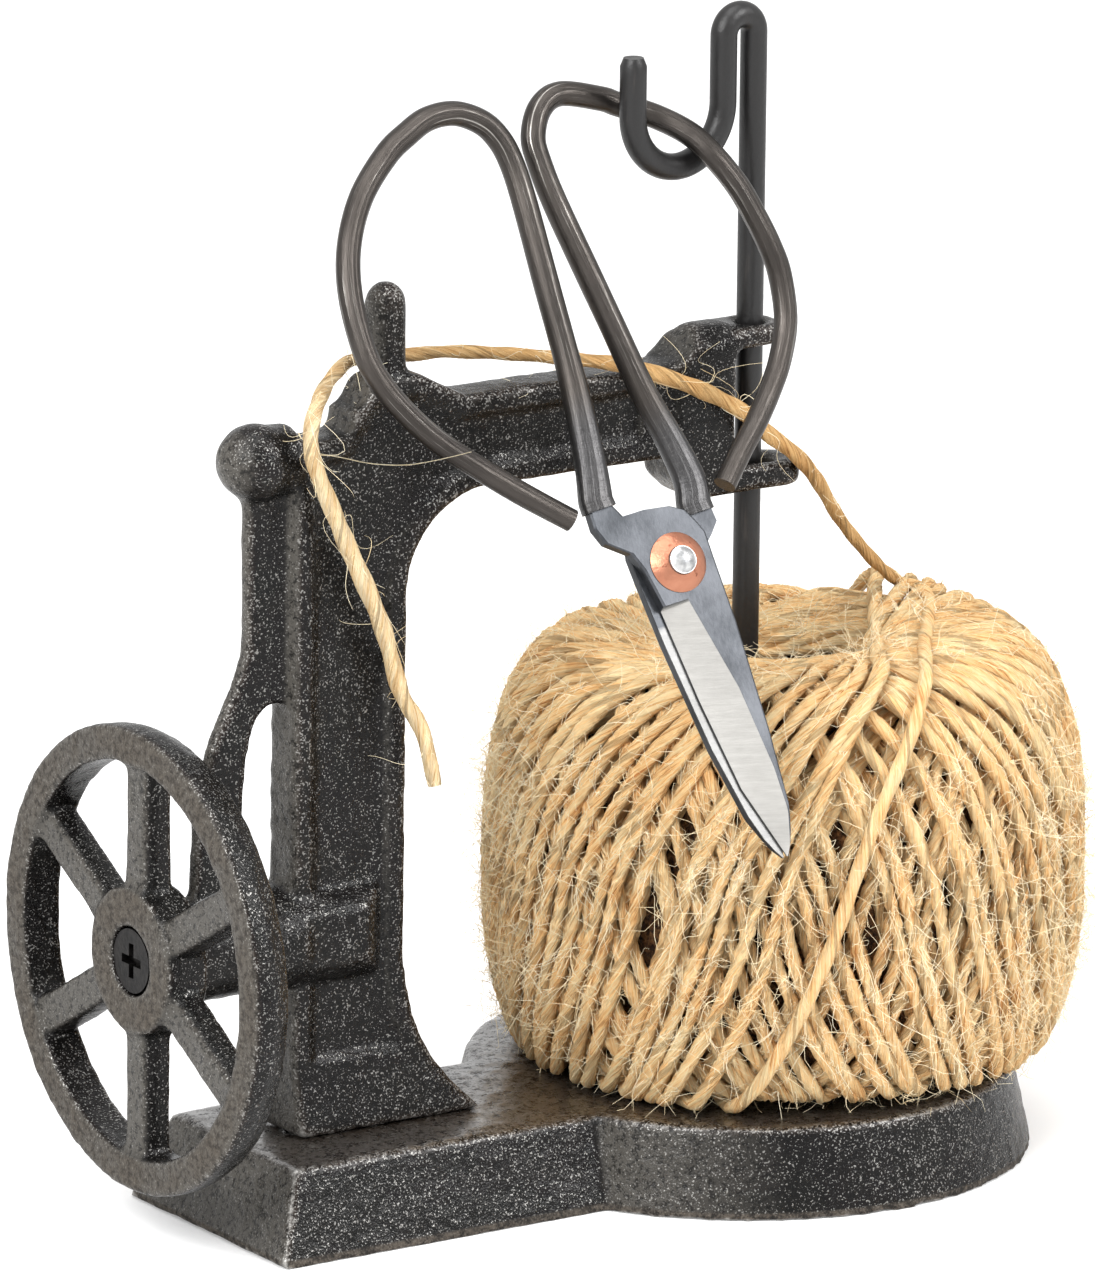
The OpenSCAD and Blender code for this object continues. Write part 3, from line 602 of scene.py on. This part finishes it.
def ball_strand():
    """One unbroken strand. It swings up and down the ball's section like a pendulum, passing the hole
    at the top and the bottom, while it runs round the axis a little more than once per loop, slowest
    at the waist. Half a turn of that gain makes one layer, and each loop lies on the ones before."""
    count = LAYERS * LOOPS * RINGS
    rng = np.random.default_rng(SEED)
    phase = TURN * np.arange(count + 1) / RINGS
    done = phase / (TURN * LAYERS * LOOPS)
    knots = np.arange(2 * LAYERS * LOOPS + 2) / 2
    loop = phase / TURN
    reach = np.interp(loop, knots, rng.uniform(0, 1, len(knots)))
    wander = np.interp(loop, knots, rng.normal(0, WANDER, len(knots)))
    lean = LEAN + np.interp(loop, knots, rng.normal(0, LEAN_SPREAD, len(knots)))
    t = -np.radians(HOLE_PASS + HOLE_SPREAD * reach) * np.cos(phase)
    gain = 1 + 0.5 / LOOPS
    around = FRONT + (phase - TURN * LAYERS * LOOPS - TURN / 4) * gain + lean * np.sin(2 * phase) + wander
    shoulder = np.clip((np.abs(np.sin(t)) - SHOULDER) / (1 - SHOULDER), 0, 1)
    pole = np.where(np.abs(t) > math.pi / 2, 1, shoulder)
    drop = ((1 - done) * LAYERS - 0.5) * (LAYER_DROP + PILE_DROP * pole)
    drop -= LAST_RISE * np.clip((loop - LAYERS * LOOPS + LAST_LOOPS) / RISE_LOOPS, 0, 1)
    r, z = ball_section(t, drop)
    path = on_ball(r, around, z)
    step = 0.01
    r0, z0 = ball_section(t - step, drop)
    r1, z1 = ball_section(t + step, drop)
    outward = np.stack([(z1 - z0) * np.cos(around), (z1 - z0) * np.sin(around), r0 - r1], -1)
    return path, unit(outward)


def last_turn():
    """The strand's end on the ball, in line with the loose end: a curve from where that lifts off, past
    the hole, over the front shoulder and down the front, where it dives under the other turns."""
    t, around, inset = np.array(LAST_RUN, float).T
    r, z = ball_section(np.radians(t), inset)
    down = on_ball(r, np.radians(around), z)
    return smooth_path(np.vstack([TAIL_ROUTE[:1], down]), LAST_STEPS)


def build_turns(path, outward):
    """The strand's three layers: a two-ply ring carried along it, uneven, and now thicker, now thinner."""
    length = run_length(path)
    knots = np.arange(0, length[-1] + 9, SLUB_GAP)
    slub = 1 + SLUB * np.interp(length, knots, np.random.default_rng(SEED + 3).normal(size=len(knots)))
    turn = TURN * length / BALL_PITCH
    rings = tube(path, STRAND_R * TURN_GIRTH * slub, outward, BALL_SIDES, turn, BALL_LOBE)
    uneven = np.random.default_rng(SEED + 6).normal(1, UNEVEN, (len(path), BALL_SIDES, 1))
    rings = path[:, None] + (rings - path[:, None]) * uneven
    uv = tube_uv(path, BALL_SIDES)
    for layer, name in enumerate(["ball_inner_turns", "ball_middle_turns", "ball_outer_turns"]):
        part = slice(layer * LOOPS * RINGS, (layer + 1) * LOOPS * RINGS + 1)
        turns = rings[part]
        piece = put_mesh(name, turns, capped(len(turns), BALL_SIDES), ball_jute, uv[part])
        attach(piece, "ball", "jute", "twine_winding")


def build_fluff(path, outward):
    """Stray fibres on the outer layers, fewest near the hole and where the ball sits: the chance that a
    point of the strand carries one grows with its distance from the axis and follows its height."""
    heading = unit(np.gradient(path, axis=0))
    reach = np.hypot(path[:, 0] - BALL_X, path[:, 1])
    fluff = np.interp(reach, FLUFF_REACH, [0, 1]) * np.interp(path[:, 2], *np.transpose(FLUFF))
    top = np.flatnonzero(fluff > np.random.default_rng(SEED + 9).uniform(0, 1, len(reach)))
    top = top[top >= LOOPS * RINGS]
    roots = (path + HAIR_ROOT * STRAND_R * outward)[top]
    for share in range(HAIR_SHARES):
        hairs = build_hairs(
            f"ball_hairs_{share + 1}", roots, heading[top], outward[top],
            count=SHARE_HAIRS, longest=LONGEST_HAIR, seed=SEED + 40 + share)
        attach(hairs, "ball", "jute", "twine_winding")


def build_last_turn():
    """A two-ply ring carried along the strand's end."""
    end = last_turn()
    turn = -TURN * run_length(end) / PLY_PITCH
    rings = tube(end, TWINE_R * LAST_GIRTH, SIDEWAYS, LAST_SIDES, turn, LOBE)
    piece = put_tube("ball_last_turn", end, rings, ball_jute)
    attach(piece, "ball", "jute", "twine_winding")


def build_heart():
    """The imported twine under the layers: the ball's section turned round its axis, with slanting ridges
    as high as a sine without its sign."""
    t = TURN * np.arange(HEART_ROWS)[None] / HEART_ROWS
    around = TURN * np.arange(HEART_COLUMNS)[:, None] / HEART_COLUMNS
    ridge = np.abs(np.sin(HEART_RIDGES / 2 * (around + HEART_LEAN * np.sin(t))))
    r, z = ball_section(t, LAYER_DROP * LAYERS + HEART_SINK - ridge)
    faces = np.array(grid_faces(HEART_COLUMNS + 1, HEART_ROWS)) % (HEART_COLUMNS * HEART_ROWS)
    piece = put_mesh("ball_heart", on_ball(r, around, z), faces[:, ::-1].tolist(), core_jute_painted_shade)
    attach(piece, "ball", "jute_core", "twine_core")


def build_ball():
    """The ball from its one strand, that strand's fibres and end, and the heart below."""
    path, outward = ball_strand()
    build_turns(path, outward)
    build_fluff(path, outward)
    build_last_turn()
    build_heart()


def deep_finish():
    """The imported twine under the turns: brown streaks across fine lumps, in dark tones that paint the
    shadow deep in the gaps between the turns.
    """
    deep = Finish("core_jute_painted_shade", Roughness=0.95)
    streak = deep.step(deep.noise(0.0013, 4, 0.7), 0.35, 0.68)
    # Painted shadow: the core's tones are kept dark brown, as shade deep between the turns.
    deep.feed(Base_Color=deep.mix(streak, shade(46, 27, 13), shade(168, 118, 70)))
    deep.bump(streak, 0.0015)
    return deep


core_jute_painted_shade = deep_finish()
build_tail()
build_ball()


# Castings


def cast_finish(name, axis=None, limit=0.0, low=(), high=(), top=0.0):
    """Painted cast iron: a pebbled skin whose finest grains carry painted glints, bright metallic flecks
    that stand in for sparkling highlights, most of all on the sides that look forward towards the right
    lamp and on convex edges, with worn edges rubbed down to the metal. The far end is greyer, a painted
    reflection of bright surroundings, and the top, by a share, is lightened to a brown as painted light
    and has a smooth gloss between its pits, which are darkened as painted shade. Where an axis is given,
    the skin below that limit along it was machined, and is duller, browner and flatter."""
    iron = Finish(name, Specular_IOR_Level=0.17)
    grain = iron.noise(0.00031, 1.0, 0.5)
    pebble = iron.noise(0.0010, 2, 0.5)
    patch = iron.noise(0.011, 3, 0.6)
    edge = iron.attribute("edge")
    forward = iron.attribute("forward")
    upward = iron.attribute("upward")
    rim = iron.step(edge, 0.1, 0.7)
    worn = iron.step(edge + pebble * 0.6 + patch * 0.4, 1.05, 1.5)
    height = grain * 0.4 + pebble * 0.6
    # Painted glints: bright metallic flecks stand in for sparkling highlights, densest on faces towards
    # the right-hand lamp and on convex edges.
    painted_glint = iron.step(grain + pebble * 0.22 + patch * 0.1 + forward * 0.07 + rim * 0.09, 0.82, 0.93) * 0.5
    pit_shade = 1 - iron.step(height, 0.36, 0.52)
    skin = iron.mix(patch, shade(8, 8, 8), shade(22, 20, 18))
    skin = iron.mix(iron.step(edge + patch * 0.5, 0.4, 1.1) * 0.7, skin, shade(62, 52, 45))
    # Painted reflection: faces that look to the far end are greyer, as bright surroundings on that side
    # would show in them.
    skin = iron.mix(iron.attribute("endward") * 0.8, skin, shade(84, 81, 76))
    if top:
        # Painted light: faces that look up are lightened to a brown, as if lit from above.
        skin = iron.mix(upward * top, skin, shade(44, 37, 31))
    # Painted shade: the pits between the grains are darkened, as shade falls in them.
    skin = iron.mix(pit_shade * 0.8, skin, shade(7, 7, 7))
    rough = 0.22 + patch * 0.1 - upward * 0.04
    if axis:
        place = iron.node("ShaderNodeSeparateXYZ", (), {0: iron.place}, out=axis)
        dull = 1 - iron.step(place + pebble * 0.0004, limit, limit + 0.0005)
        skin = iron.mix(dull * 0.85, skin, iron.mix(iron.step(height, 0.35, 0.65), low, high))
        rough = rough + dull * 0.35
        painted_glint = painted_glint * (1 - dull * 0.9)
    # Bare metal where edges are worn, and the painted glints.
    wear_and_glint = (worn * 0.8).math("MAXIMUM", painted_glint)
    iron.feed(Base_Color=iron.mix(wear_and_glint, skin, shade(176, 174, 170)), Roughness=rough, Metallic=wear_and_glint * 0.9)
    if top:
        iron.feed(Coat_Weight=upward * top * (1 - pit_shade), Coat_Roughness=0.28, Coat_IOR=1.8)
    iron.bump(height, 0.00026)
    return iron


WHEEL_FACE_X = -0.1080
GROUND_BAND = 0.0011
black_iron = cast_finish("black_cast_iron")
base_iron = cast_finish("base_cast_iron", "Z", GROUND_BAND, shade(34, 31, 28), shade(84, 77, 69), top=1.0)
wheel_iron = cast_finish("wheel_cast_iron", "X", WHEEL_FACE_X, shade(50, 45, 40), shade(82, 75, 66))


RELAX = 0.5
BLUR_ROUNDS = 14
EDGE_SPAN = 0.45
# Height, size and seed of the lumps
SKIN_LUMPS = [(0.10, 1.7, SEED + 1), (0.12, 7.0, SEED + 2)]
SKIN_SINK = 0.05
LOWEST = 0.02
# The way the right-hand lamp lies; faces that look this way carry the most painted glints.
FORWARD = unit(np.array([0.3, -0.8, 0.5]))
# Centre, the two axes across it and radius
ROD_BORE = (np.array([0.0, 0.0]), [0, 1], 2.15)


def smoothed(points, ends, rounds, pull):
    """Each point moves a share of the way to the mean of its neighbours, over and over."""
    i, j = ends
    shared = np.maximum(np.bincount(i, minlength=len(points)) + np.bincount(j, minlength=len(points)), 1)
    for _ in range(rounds):
        total = np.stack([
            np.bincount(i, points[j, axis], len(points)) + np.bincount(j, points[i, axis], len(points))
            for axis in range(3)], -1)
        points = points + pull * (total / shared[:, None] - points)
    return points


def soften(node, voxel, rounds):
    """A casting's solid with rounded edges: its copy is merged, made of even small faces, and relaxed.
    Returns points in millimetres, faces, normals and how far points stand out of the blurred shape."""
    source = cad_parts[node]
    merged = bmesh.new()
    merged.from_mesh(source.data)
    bmesh.ops.remove_doubles(merged, verts=merged.verts, dist=1e-6)
    mesh = bpy.data.meshes.new("soften")
    merged.to_mesh(mesh)
    merged.free()
    copy = put("soften", mesh)
    remesh = copy.modifiers.new("even", "REMESH")
    remesh.mode, remesh.voxel_size, remesh.adaptivity = "VOXEL", voxel * MM, 0.0
    even = copy.evaluated_get(bpy.context.evaluated_depsgraph_get()).to_mesh()
    points = read(even.vertices, "co", 3) / MM
    ends = read(even.edges, "vertices", 2, np.int32).T
    faces = read(even.loops, "vertex_index", 1, np.int32).reshape(-1, 4)
    copy.to_mesh_clear()
    bpy.data.objects.remove(copy)
    bpy.data.meshes.remove(mesh)
    points = smoothed(points, ends, rounds, RELAX)
    a, b, c, d = (points[faces[:, k]] for k in range(4))
    face_normal = np.cross(c - a, d - b)
    normal = np.stack([
        sum(np.bincount(faces[:, k], face_normal[:, axis], len(points)) for k in range(4))
        for axis in range(3)], -1)
    normal = unit(normal + 1e-12)
    edge = ((points - smoothed(points, ends, BLUR_ROUNDS, RELAX)) * normal).sum(-1)
    return points, faces, normal, edge


def clear_bore(points, centre, axes, radius):
    """Points nearer than radius to an axis through centre move straight out to it."""
    offset = points[:, axes] - centre
    far = np.linalg.norm(offset, axis=1, keepdims=True)
    cleared = centre + offset / np.maximum(far, 1e-6) * radius
    points[:, axes] = np.where(far < radius, cleared, points[:, axes])
    return points


def build_casting(name, node, body, finish, voxel, rounds, bores):
    """A softened casting whose skin rises and sinks by two sizes of lumps, with clear bores and a level
    foot. Its attributes say where edges are and how much a point looks forward, up or to the far end."""
    points, faces, normal, edge = soften(node, voxel, rounds)
    rise = sum(height * lumps(points, size, seed) for height, size, seed in SKIN_LUMPS) - SKIN_SINK
    points = points + rise[:, None] * normal
    for centre, axes, radius in bores:
        points = clear_bore(points, centre, axes, radius)
    points[:, 2] = np.maximum(points[:, 2], LOWEST)
    looks = {
        "forward": np.clip(normal @ FORWARD, 0, 1),
        "upward": np.clip(normal[:, 2] * 2 - 1, 0, 1),
        # How much a point looks to the far end, which carries a greyer painted reflection.
        "endward": np.clip(-normal[:, 0] * 2 - 0.8, 0, 1),
    }
    piece = put_mesh(name, points, faces.tolist(), finish, edge=edge / EDGE_SPAN, **looks)
    attach(piece, body, "cast_iron", node)


build_casting("base_plate", "base_casting", "frame", base_iron, voxel=0.62, rounds=5, bores=[ROD_BORE])
build_casting("arm_frame", "arm_casting", "frame", black_iron, voxel=0.55, rounds=11, bores=[ROD_BORE])
build_casting("spoked_wheel", "hand_wheel", "wheel", wheel_iron, voxel=0.5, rounds=9, bores=[])


# Rod

ROD_R = 2.0
ROD_SIDES = 28
ROD_YAW = math.radians(6)
ROD_FOOT, ROD_TOP, ROD_TIP = 5.8, 169.8, 168.8
BEND_R = 2.9
HOOK_R, HOOK_Z = 8.65, 160.0
END_EASE, END_DROP = 0.4, 0.5
RISE_RINGS, BEND_RINGS, HOOK_RINGS, LEG_RINGS = 60, 25, 49, 8


def rod_finish():
    """Satin black paint with faint scuffs along the rod."""
    paint = Finish("rod_black_paint", Specular_IOR_Level=0.4)
    streak = paint.noise(0.0012, 3, 0.6, at=paint.stretch(1, 1, 0.12))
    scuff = paint.step(streak, 0.6, 0.8)
    tone = paint.mix(scuff * 0.5, shade(24, 23, 23), shade(64, 58, 54))
    paint.feed(Base_Color=tone, Roughness=streak * 0.25 + 0.28)
    paint.bump(paint.noise(0.0008, 2), 0.00006)
    return paint


def build_rod():
    """A round bar carried up the axis, over a tight bend, down, round the hook and up its free leg. Its
    ends are eased by the square of the distance to them."""
    rise = np.linspace(ROD_FOOT, ROD_TOP, RISE_RINGS)[:-1]
    over = np.linspace(math.pi, 0, BEND_RINGS)
    under = np.linspace(math.pi, TURN, HOOK_RINGS)
    leg = np.linspace(HOOK_Z, ROD_TIP, LEG_RINGS)[1:]
    s = np.concatenate([
        0 * rise,
        BEND_R + BEND_R * np.cos(over),
        2 * BEND_R + HOOK_R + HOOK_R * np.cos(under),
        2 * (BEND_R + HOOK_R) + 0 * leg,
    ])
    z = np.concatenate([rise, ROD_TOP + BEND_R * np.sin(over), HOOK_Z + HOOK_R * np.sin(under), leg])
    path = np.stack([-s * math.cos(ROD_YAW), -s * math.sin(ROD_YAW), z], -1)
    length = run_length(path)
    ends = np.minimum(length, length[-1] - length)
    radius = ROD_R - END_DROP * np.clip(1 - ends / END_EASE, 0, 1) ** 2
    side = np.array([math.sin(ROD_YAW), -math.cos(ROD_YAW), 0])
    rings = tube(path, radius, side, ROD_SIDES)
    piece = put_mesh("bent_rod", rings, capped(len(path), ROD_SIDES), rod_finish(), sharp=50)
    attach(piece, "rod", "rod_paint", "hook_rod")


build_rod()


# Scissors


def spin(axis, degrees):
    """The matrix of a turn about an axis."""
    return np.array(Matrix.Rotation(math.radians(degrees), 3, axis))


SCISSOR_TURN = spin("Z", -6) @ spin("X", 64) @ spin("Z", 11.2)
PIVOT = np.array([-31.947, -27.439, 98.875])

BAR_R, BAR_THINS = 2.0, 0.3
BAR_LUMP, BAR_LUMP_SIZE = 0.02, 9.0
BAR_SIDES = 28
BAR_STEPS = 12
ROOT_LENGTH, ROOT_FALL = 24, 1.3
ROOT_WIDE, ROOT_FLAT, ROOT_SQUARE = 0.32, 0.1, 0.3
# Across, along and out of the scissors' own plane
FRONT_LOOP = [
    [-8.6, 11, 1], [-8.6, 12.4, 1], [-6.9, 19, 1], [-4.8, 31, 1], [-3.1, 45, 1], [-1.6, 57, 1],
    [-1.2, 63, 1], [-1.7, 67, 1], [-3.4, 70.2, 1], [-7, 72.7, 1], [-11.5, 73.2, 1], [-15.7, 72, 1],
    [-20.2, 70, 1], [-26.5, 65.3, 1], [-31.3, 59, 1], [-34, 52, 1], [-35.1, 43.8, 1], [-34.3, 38.4, 1],
    [-32.2, 33.2, 1], [-29.2, 28.2, 1], [-25.2, 23.3, 1], [-19.5, 17, 1], [-13.4, 10.9, 1],
]
BACK_LOOP = [
    [7.5, 6, -1], [7.5, 7.4, -1], [8.3, 11.2, -1], [7.7, 17.5, -1], [6.5, 25, -1], [5.7, 36, -1],
    [5, 45, -1], [4.2, 56, -1], [4.2, 62, -1], [4.8, 66, -1], [7.6, 69.7, -1], [11.6, 70.8, -1],
    [17.7, 68.3, -1.2], [20.2, 66.7, -1.4], [25, 63.1, -0.6], [28.2, 58.8, 1.4], [29.9, 54.4, 2.6],
    [31.8, 49.4, 2.5], [33.1, 44.5, 1.8], [34, 39.6, 1.1], [34.2, 35, 0.4], [32.8, 28.5, -0.4],
    [29.7, 23.3, -0.8], [26.4, 19.6, -1], [22.5, 16, -1], [18.2, 12.6, -1], [13.5, 8.6, -1],
]


def to_world(local):
    """Points of the scissors' own plane (across, along, out of it) where they hang."""
    return PIVOT + local @ SCISSOR_TURN.T


def forged_finish():
    """Dark forged steel: fine pale scratches along the bar, and hammer ridges across its flat root."""
    steel = Finish("forged_bar_steel", Metallic=0.9)
    u, v = steel.strand()
    streak = steel.noise(0.22, 4, 0.7, at=steel.wrapped(u, v, 0.1))
    fine = steel.noise(0.0009, 3, 0.6)
    broad = steel.noise(0.014, 2, 0.5)
    scratch = steel.step(streak, 0.58, 0.72)
    root = 1 - steel.step(u, 1.1, 1.9)
    ridge = steel.noise(1.5, 3, 0.6, at=steel.wrapped(u, v, 17.5)) * root
    tone = steel.mix(broad, shade(46, 43, 41), shade(80, 75, 71))
    tone = steel.mix(root * 0.5, tone, shade(74, 76, 79))
    tone = steel.mix(scratch * 0.55, tone, shade(190, 186, 180))
    steel.feed(Base_Color=tone, Roughness=fine * 0.2 + 0.24 - scratch * 0.06)
    steel.bump(streak * 0.6 + fine * 0.15 + ridge * 0.7, 0.00016)
    return steel


def blade_finish():
    """Blade steel: dull grey flats brushed along the blade, and a bevel ground bright across it."""
    steel = Finish("blade_steel", Metallic=0.92)
    polish = steel.attribute("polish")
    along = steel.noise(0.0016, 4, 0.7, at=steel.stretch(3.0, 3.0, 0.25))
    cross = steel.noise(0.0022, 4, 0.75, at=steel.stretch(0.35, 0.35, 4.0))
    cloud = steel.noise(0.009, 3, 0.55)
    flat = steel.step(cloud * 0.7 + along * 0.5, 0.35, 0.85)
    dull = steel.mix(flat, shade(50, 52, 55), shade(86, 88, 92))
    bright = steel.mix(cross, shade(152, 150, 146), shade(190, 188, 184))
    rough = along * 0.15 + 0.34 + polish * 0.06
    steel.feed(Base_Color=steel.mix(polish, dull, bright), Roughness=rough)
    steel.bump(along * (1 - polish) + cross * polish, 0.00003)
    return steel


bar_steel = forged_finish()
blade_steel = blade_finish()


def build_handle(name, node, body, loop):
    """A bar carried round the finger loop. Its section is an oval of raised sine and cosine: wide and
    flat where it was forged to the blade, round beyond, and a little thinner at its free end."""
    path = np.vstack([loop[:1], smooth_path(loop[1:], BAR_STEPS)])
    length = run_length(path)
    share = length / length[-1]
    root = np.clip(1 - length / ROOT_LENGTH, 0, 1) ** ROOT_FALL
    radius = (BAR_R - BAR_THINS * share) * (1 + BAR_LUMP * lumps(path, BAR_LUMP_SIZE, SEED + 5))
    wide, thick = radius * (1 + ROOT_WIDE * root), radius * (1 - ROOT_FLAT * root)
    power = (1 - ROOT_SQUARE * root)[:, None]
    angle = (TURN * np.arange(BAR_SIDES) / BAR_SIDES)[None]
    out = raised(np.cos(angle), power) * thick[:, None]
    across = raised(np.sin(angle), power) * wide[:, None]
    along = unit(np.gradient(path, axis=0))
    normal = unit(np.array([0, 0, 1.0]) - along[:, 2:] * along)
    sideways = np.cross(along, normal)
    rings = path[:, None] + out[..., None] * normal[:, None] + across[..., None] * sideways[:, None]
    piece = put_tube(name, path, to_world(rings), bar_steel, sharp=60)
    attach(piece, body, "forged_steel", node)


build_handle("left_finger_bar", "front_handle", "scissors_front", FRONT_LOOP)
build_handle("right_finger_bar", "back_handle", "scissors_back", BACK_LOOP)

BLADE_TIP = -45.6
BLADE_INNER = 0.05
BLADE_THICK = 1.8
BLADE_STATIONS = 90
BEVEL_TOP = -5.4
BEVEL_EASE = 0.5
EDGE_THICK = 0.3
CHAMFER_W, CHAMFER_H = 0.3, 0.25
BACK_EASE = 0.35
LINE_MARGIN, CREASE = 0.06, 0.02
TIP_SHARE, TIP_LENGTH = 0.25, 9
SHINE_TOP, SHINE = -8, 0.4
# Place along the blade, and place of its edge across it
BLADE_LEFT = [
    [BLADE_TIP, 0], [-34.2, -3], [-20.1, -4.2], [-5.5, -4.8], [0.5, -5.6], [3.4, -6.6], [6, -9.9],
    [8.5, -10.8], [11, -10.6],
]
BLADE_RIGHT = [
    [BLADE_TIP, 0.15], [-44.2, 0.95], [-42.2, 1.8], [-38.3, 2.8], [-27.4, 4.2], [-11, 5.6], [-1, 6],
    [3, 6.2], [5, 5.4], [6.9, 4.4], [8.2, 2.2], [8.9, -2], [9, -5.6], [11, -6.6],
]
BEVEL_LINE = [[BLADE_TIP, 0.15], [-44, 1.0], [-39.7, 2.1], [-32.8, 2.5], [-20.2, 1.9], [-5.8, -0.6]]
BACK_LEFT = [
    [BLADE_TIP, 0.4], [-34.2, -2.6], [-20.1, -4], [-5.5, -4.8], [0.5, -5.6], [2.4, -8], [4, -9.6],
    [6, -9.5],
]
BACK_RIGHT = [
    [BLADE_TIP, 0.55], [-44.2, 1.4], [-42.2, 2.3], [-38.3, 3.4], [-27.4, 5], [-11, 6], [-1, 6.2],
    [3, 6.2], [4, 5.9], [5, 5.4], [6, -5.5],
]


def build_blade(name, node, body, left, right, flip):
    """A flat bar of changing width: at each station along the blade a closed outline runs from the thin
    edge up the ground bevel, across the flat, round the back edge and along the inner face. It thins
    to the tip. The other half is the same bar turned half round its length."""
    left, right, bevel = (np.array(x, float) for x in (left, right, BEVEL_LINE))
    stations = np.linspace(BLADE_TIP, left[-1, 0], BLADE_STATIONS)
    close = BEVEL_TOP + np.array([-BEVEL_EASE, -0.2, 0, 0.2])
    y = np.unique(np.concatenate([left[:, 0], right[:, 0], stations, close]))
    x0, x1 = np.interp(y, *left.T), np.interp(y, *right.T)
    ground = np.clip((BEVEL_TOP - y) / BEVEL_EASE, 0, 1)
    line = np.where(ground > 0, np.interp(y, *bevel.T), x0 + CHAMFER_W)
    line = np.clip(line, x0 + LINE_MARGIN, x1 - LINE_MARGIN)
    none = np.zeros_like(y)
    inner = BLADE_INNER + none
    face = inner + BLADE_THICK * np.clip(TIP_SHARE + (y - BLADE_TIP) / TIP_LENGTH, 0, 1)
    edge = np.where(ground > 0, face - (face - inner - EDGE_THICK) * ground, face - CHAMFER_H)
    soft = np.minimum(BACK_EASE, (x1 - line) / 3)
    shine = np.where(y < SHINE_TOP, SHINE, 0) * (flip < 0)
    outline = [
        (x0, inner, shine),
        (x0, np.minimum(edge, face), ground),
        (line - CREASE, face - CREASE, ground),
        (line + CREASE, face, none),
        (x1 - soft, face, none),
        (x1 - soft * 0.3, face - 0.1, none),
        (x1, face - BACK_EASE * (face > 1), none),
        (x1, inner + 0.2 * (face - inner), none),
        (x1 - 0.05, inner, shine),
    ]
    local = np.stack([np.stack([flip * a, y, flip * b], -1) for a, b, _ in outline], 1)
    polish = np.stack([c for _, _, c in outline], 1)
    faces = capped(len(y), len(outline))
    piece = put_mesh(name, to_world(local), faces, blade_steel, sharp=18, polish=polish)
    attach(piece, body, "blade_steel", node)


build_blade("front_blade_half", "front_blade", "scissors_front", BLADE_LEFT, BLADE_RIGHT, flip=1)
build_blade("back_blade_half", "back_blade", "scissors_back", BACK_LEFT, BACK_RIGHT, flip=-1)


# Small parts kept from the CAD


def dress(node, finish):
    """Gives a node that stays its finish."""
    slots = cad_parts[node].data.materials
    slots.clear()
    slots.append(finish.material)


def copper_finish():
    """Copper in two tones with dark spots, dented where they are."""
    metal = Finish("hammered_copper", Metallic=1.0)
    spot = metal.noise(0.0014, 3, 0.6)
    dark = metal.step(spot, 0.62, 0.72)
    tone = metal.mix(metal.noise(0.003, 2), shade(160, 100, 78), shade(192, 138, 112))
    tone = metal.mix(dark * 0.7, tone, shade(92, 44, 30))
    metal.feed(Base_Color=tone, Roughness=spot * 0.3 + 0.25)
    metal.bump(spot, 0.00015)
    return metal


def plain_steel(name, low, high, rough, size):
    """Steel mottled between two tones, with spots of the given size in metres."""
    metal = Finish(name, Metallic=0.9)
    spot = metal.noise(size, 3, 0.6)
    tone = metal.mix(metal.step(spot, 0.3, 0.7), low, high)
    metal.feed(Base_Color=tone, Roughness=spot * 0.2 + rough)
    metal.bump(spot, 0.00008)
    return metal


copper = copper_finish()
rivet_steel = plain_steel(
    "rivet_steel", shade(140, 141, 142), shade(204, 204, 203), rough=0.3, size=0.0016)
zinc_screw = plain_steel("zinc_screw", shade(120, 120, 118), shade(176, 174, 168), rough=0.3, size=0.002)
black_screw = plain_steel("black_screw", shade(22, 21, 21), shade(44, 42, 41), rough=0.35, size=0.0012)
dress("front_washer", copper)
dress("back_washer", copper)
dress("pivot_rivet", rivet_steel)
dress("foot_screws", zinc_screw)
dress("wheel_screw", black_screw)
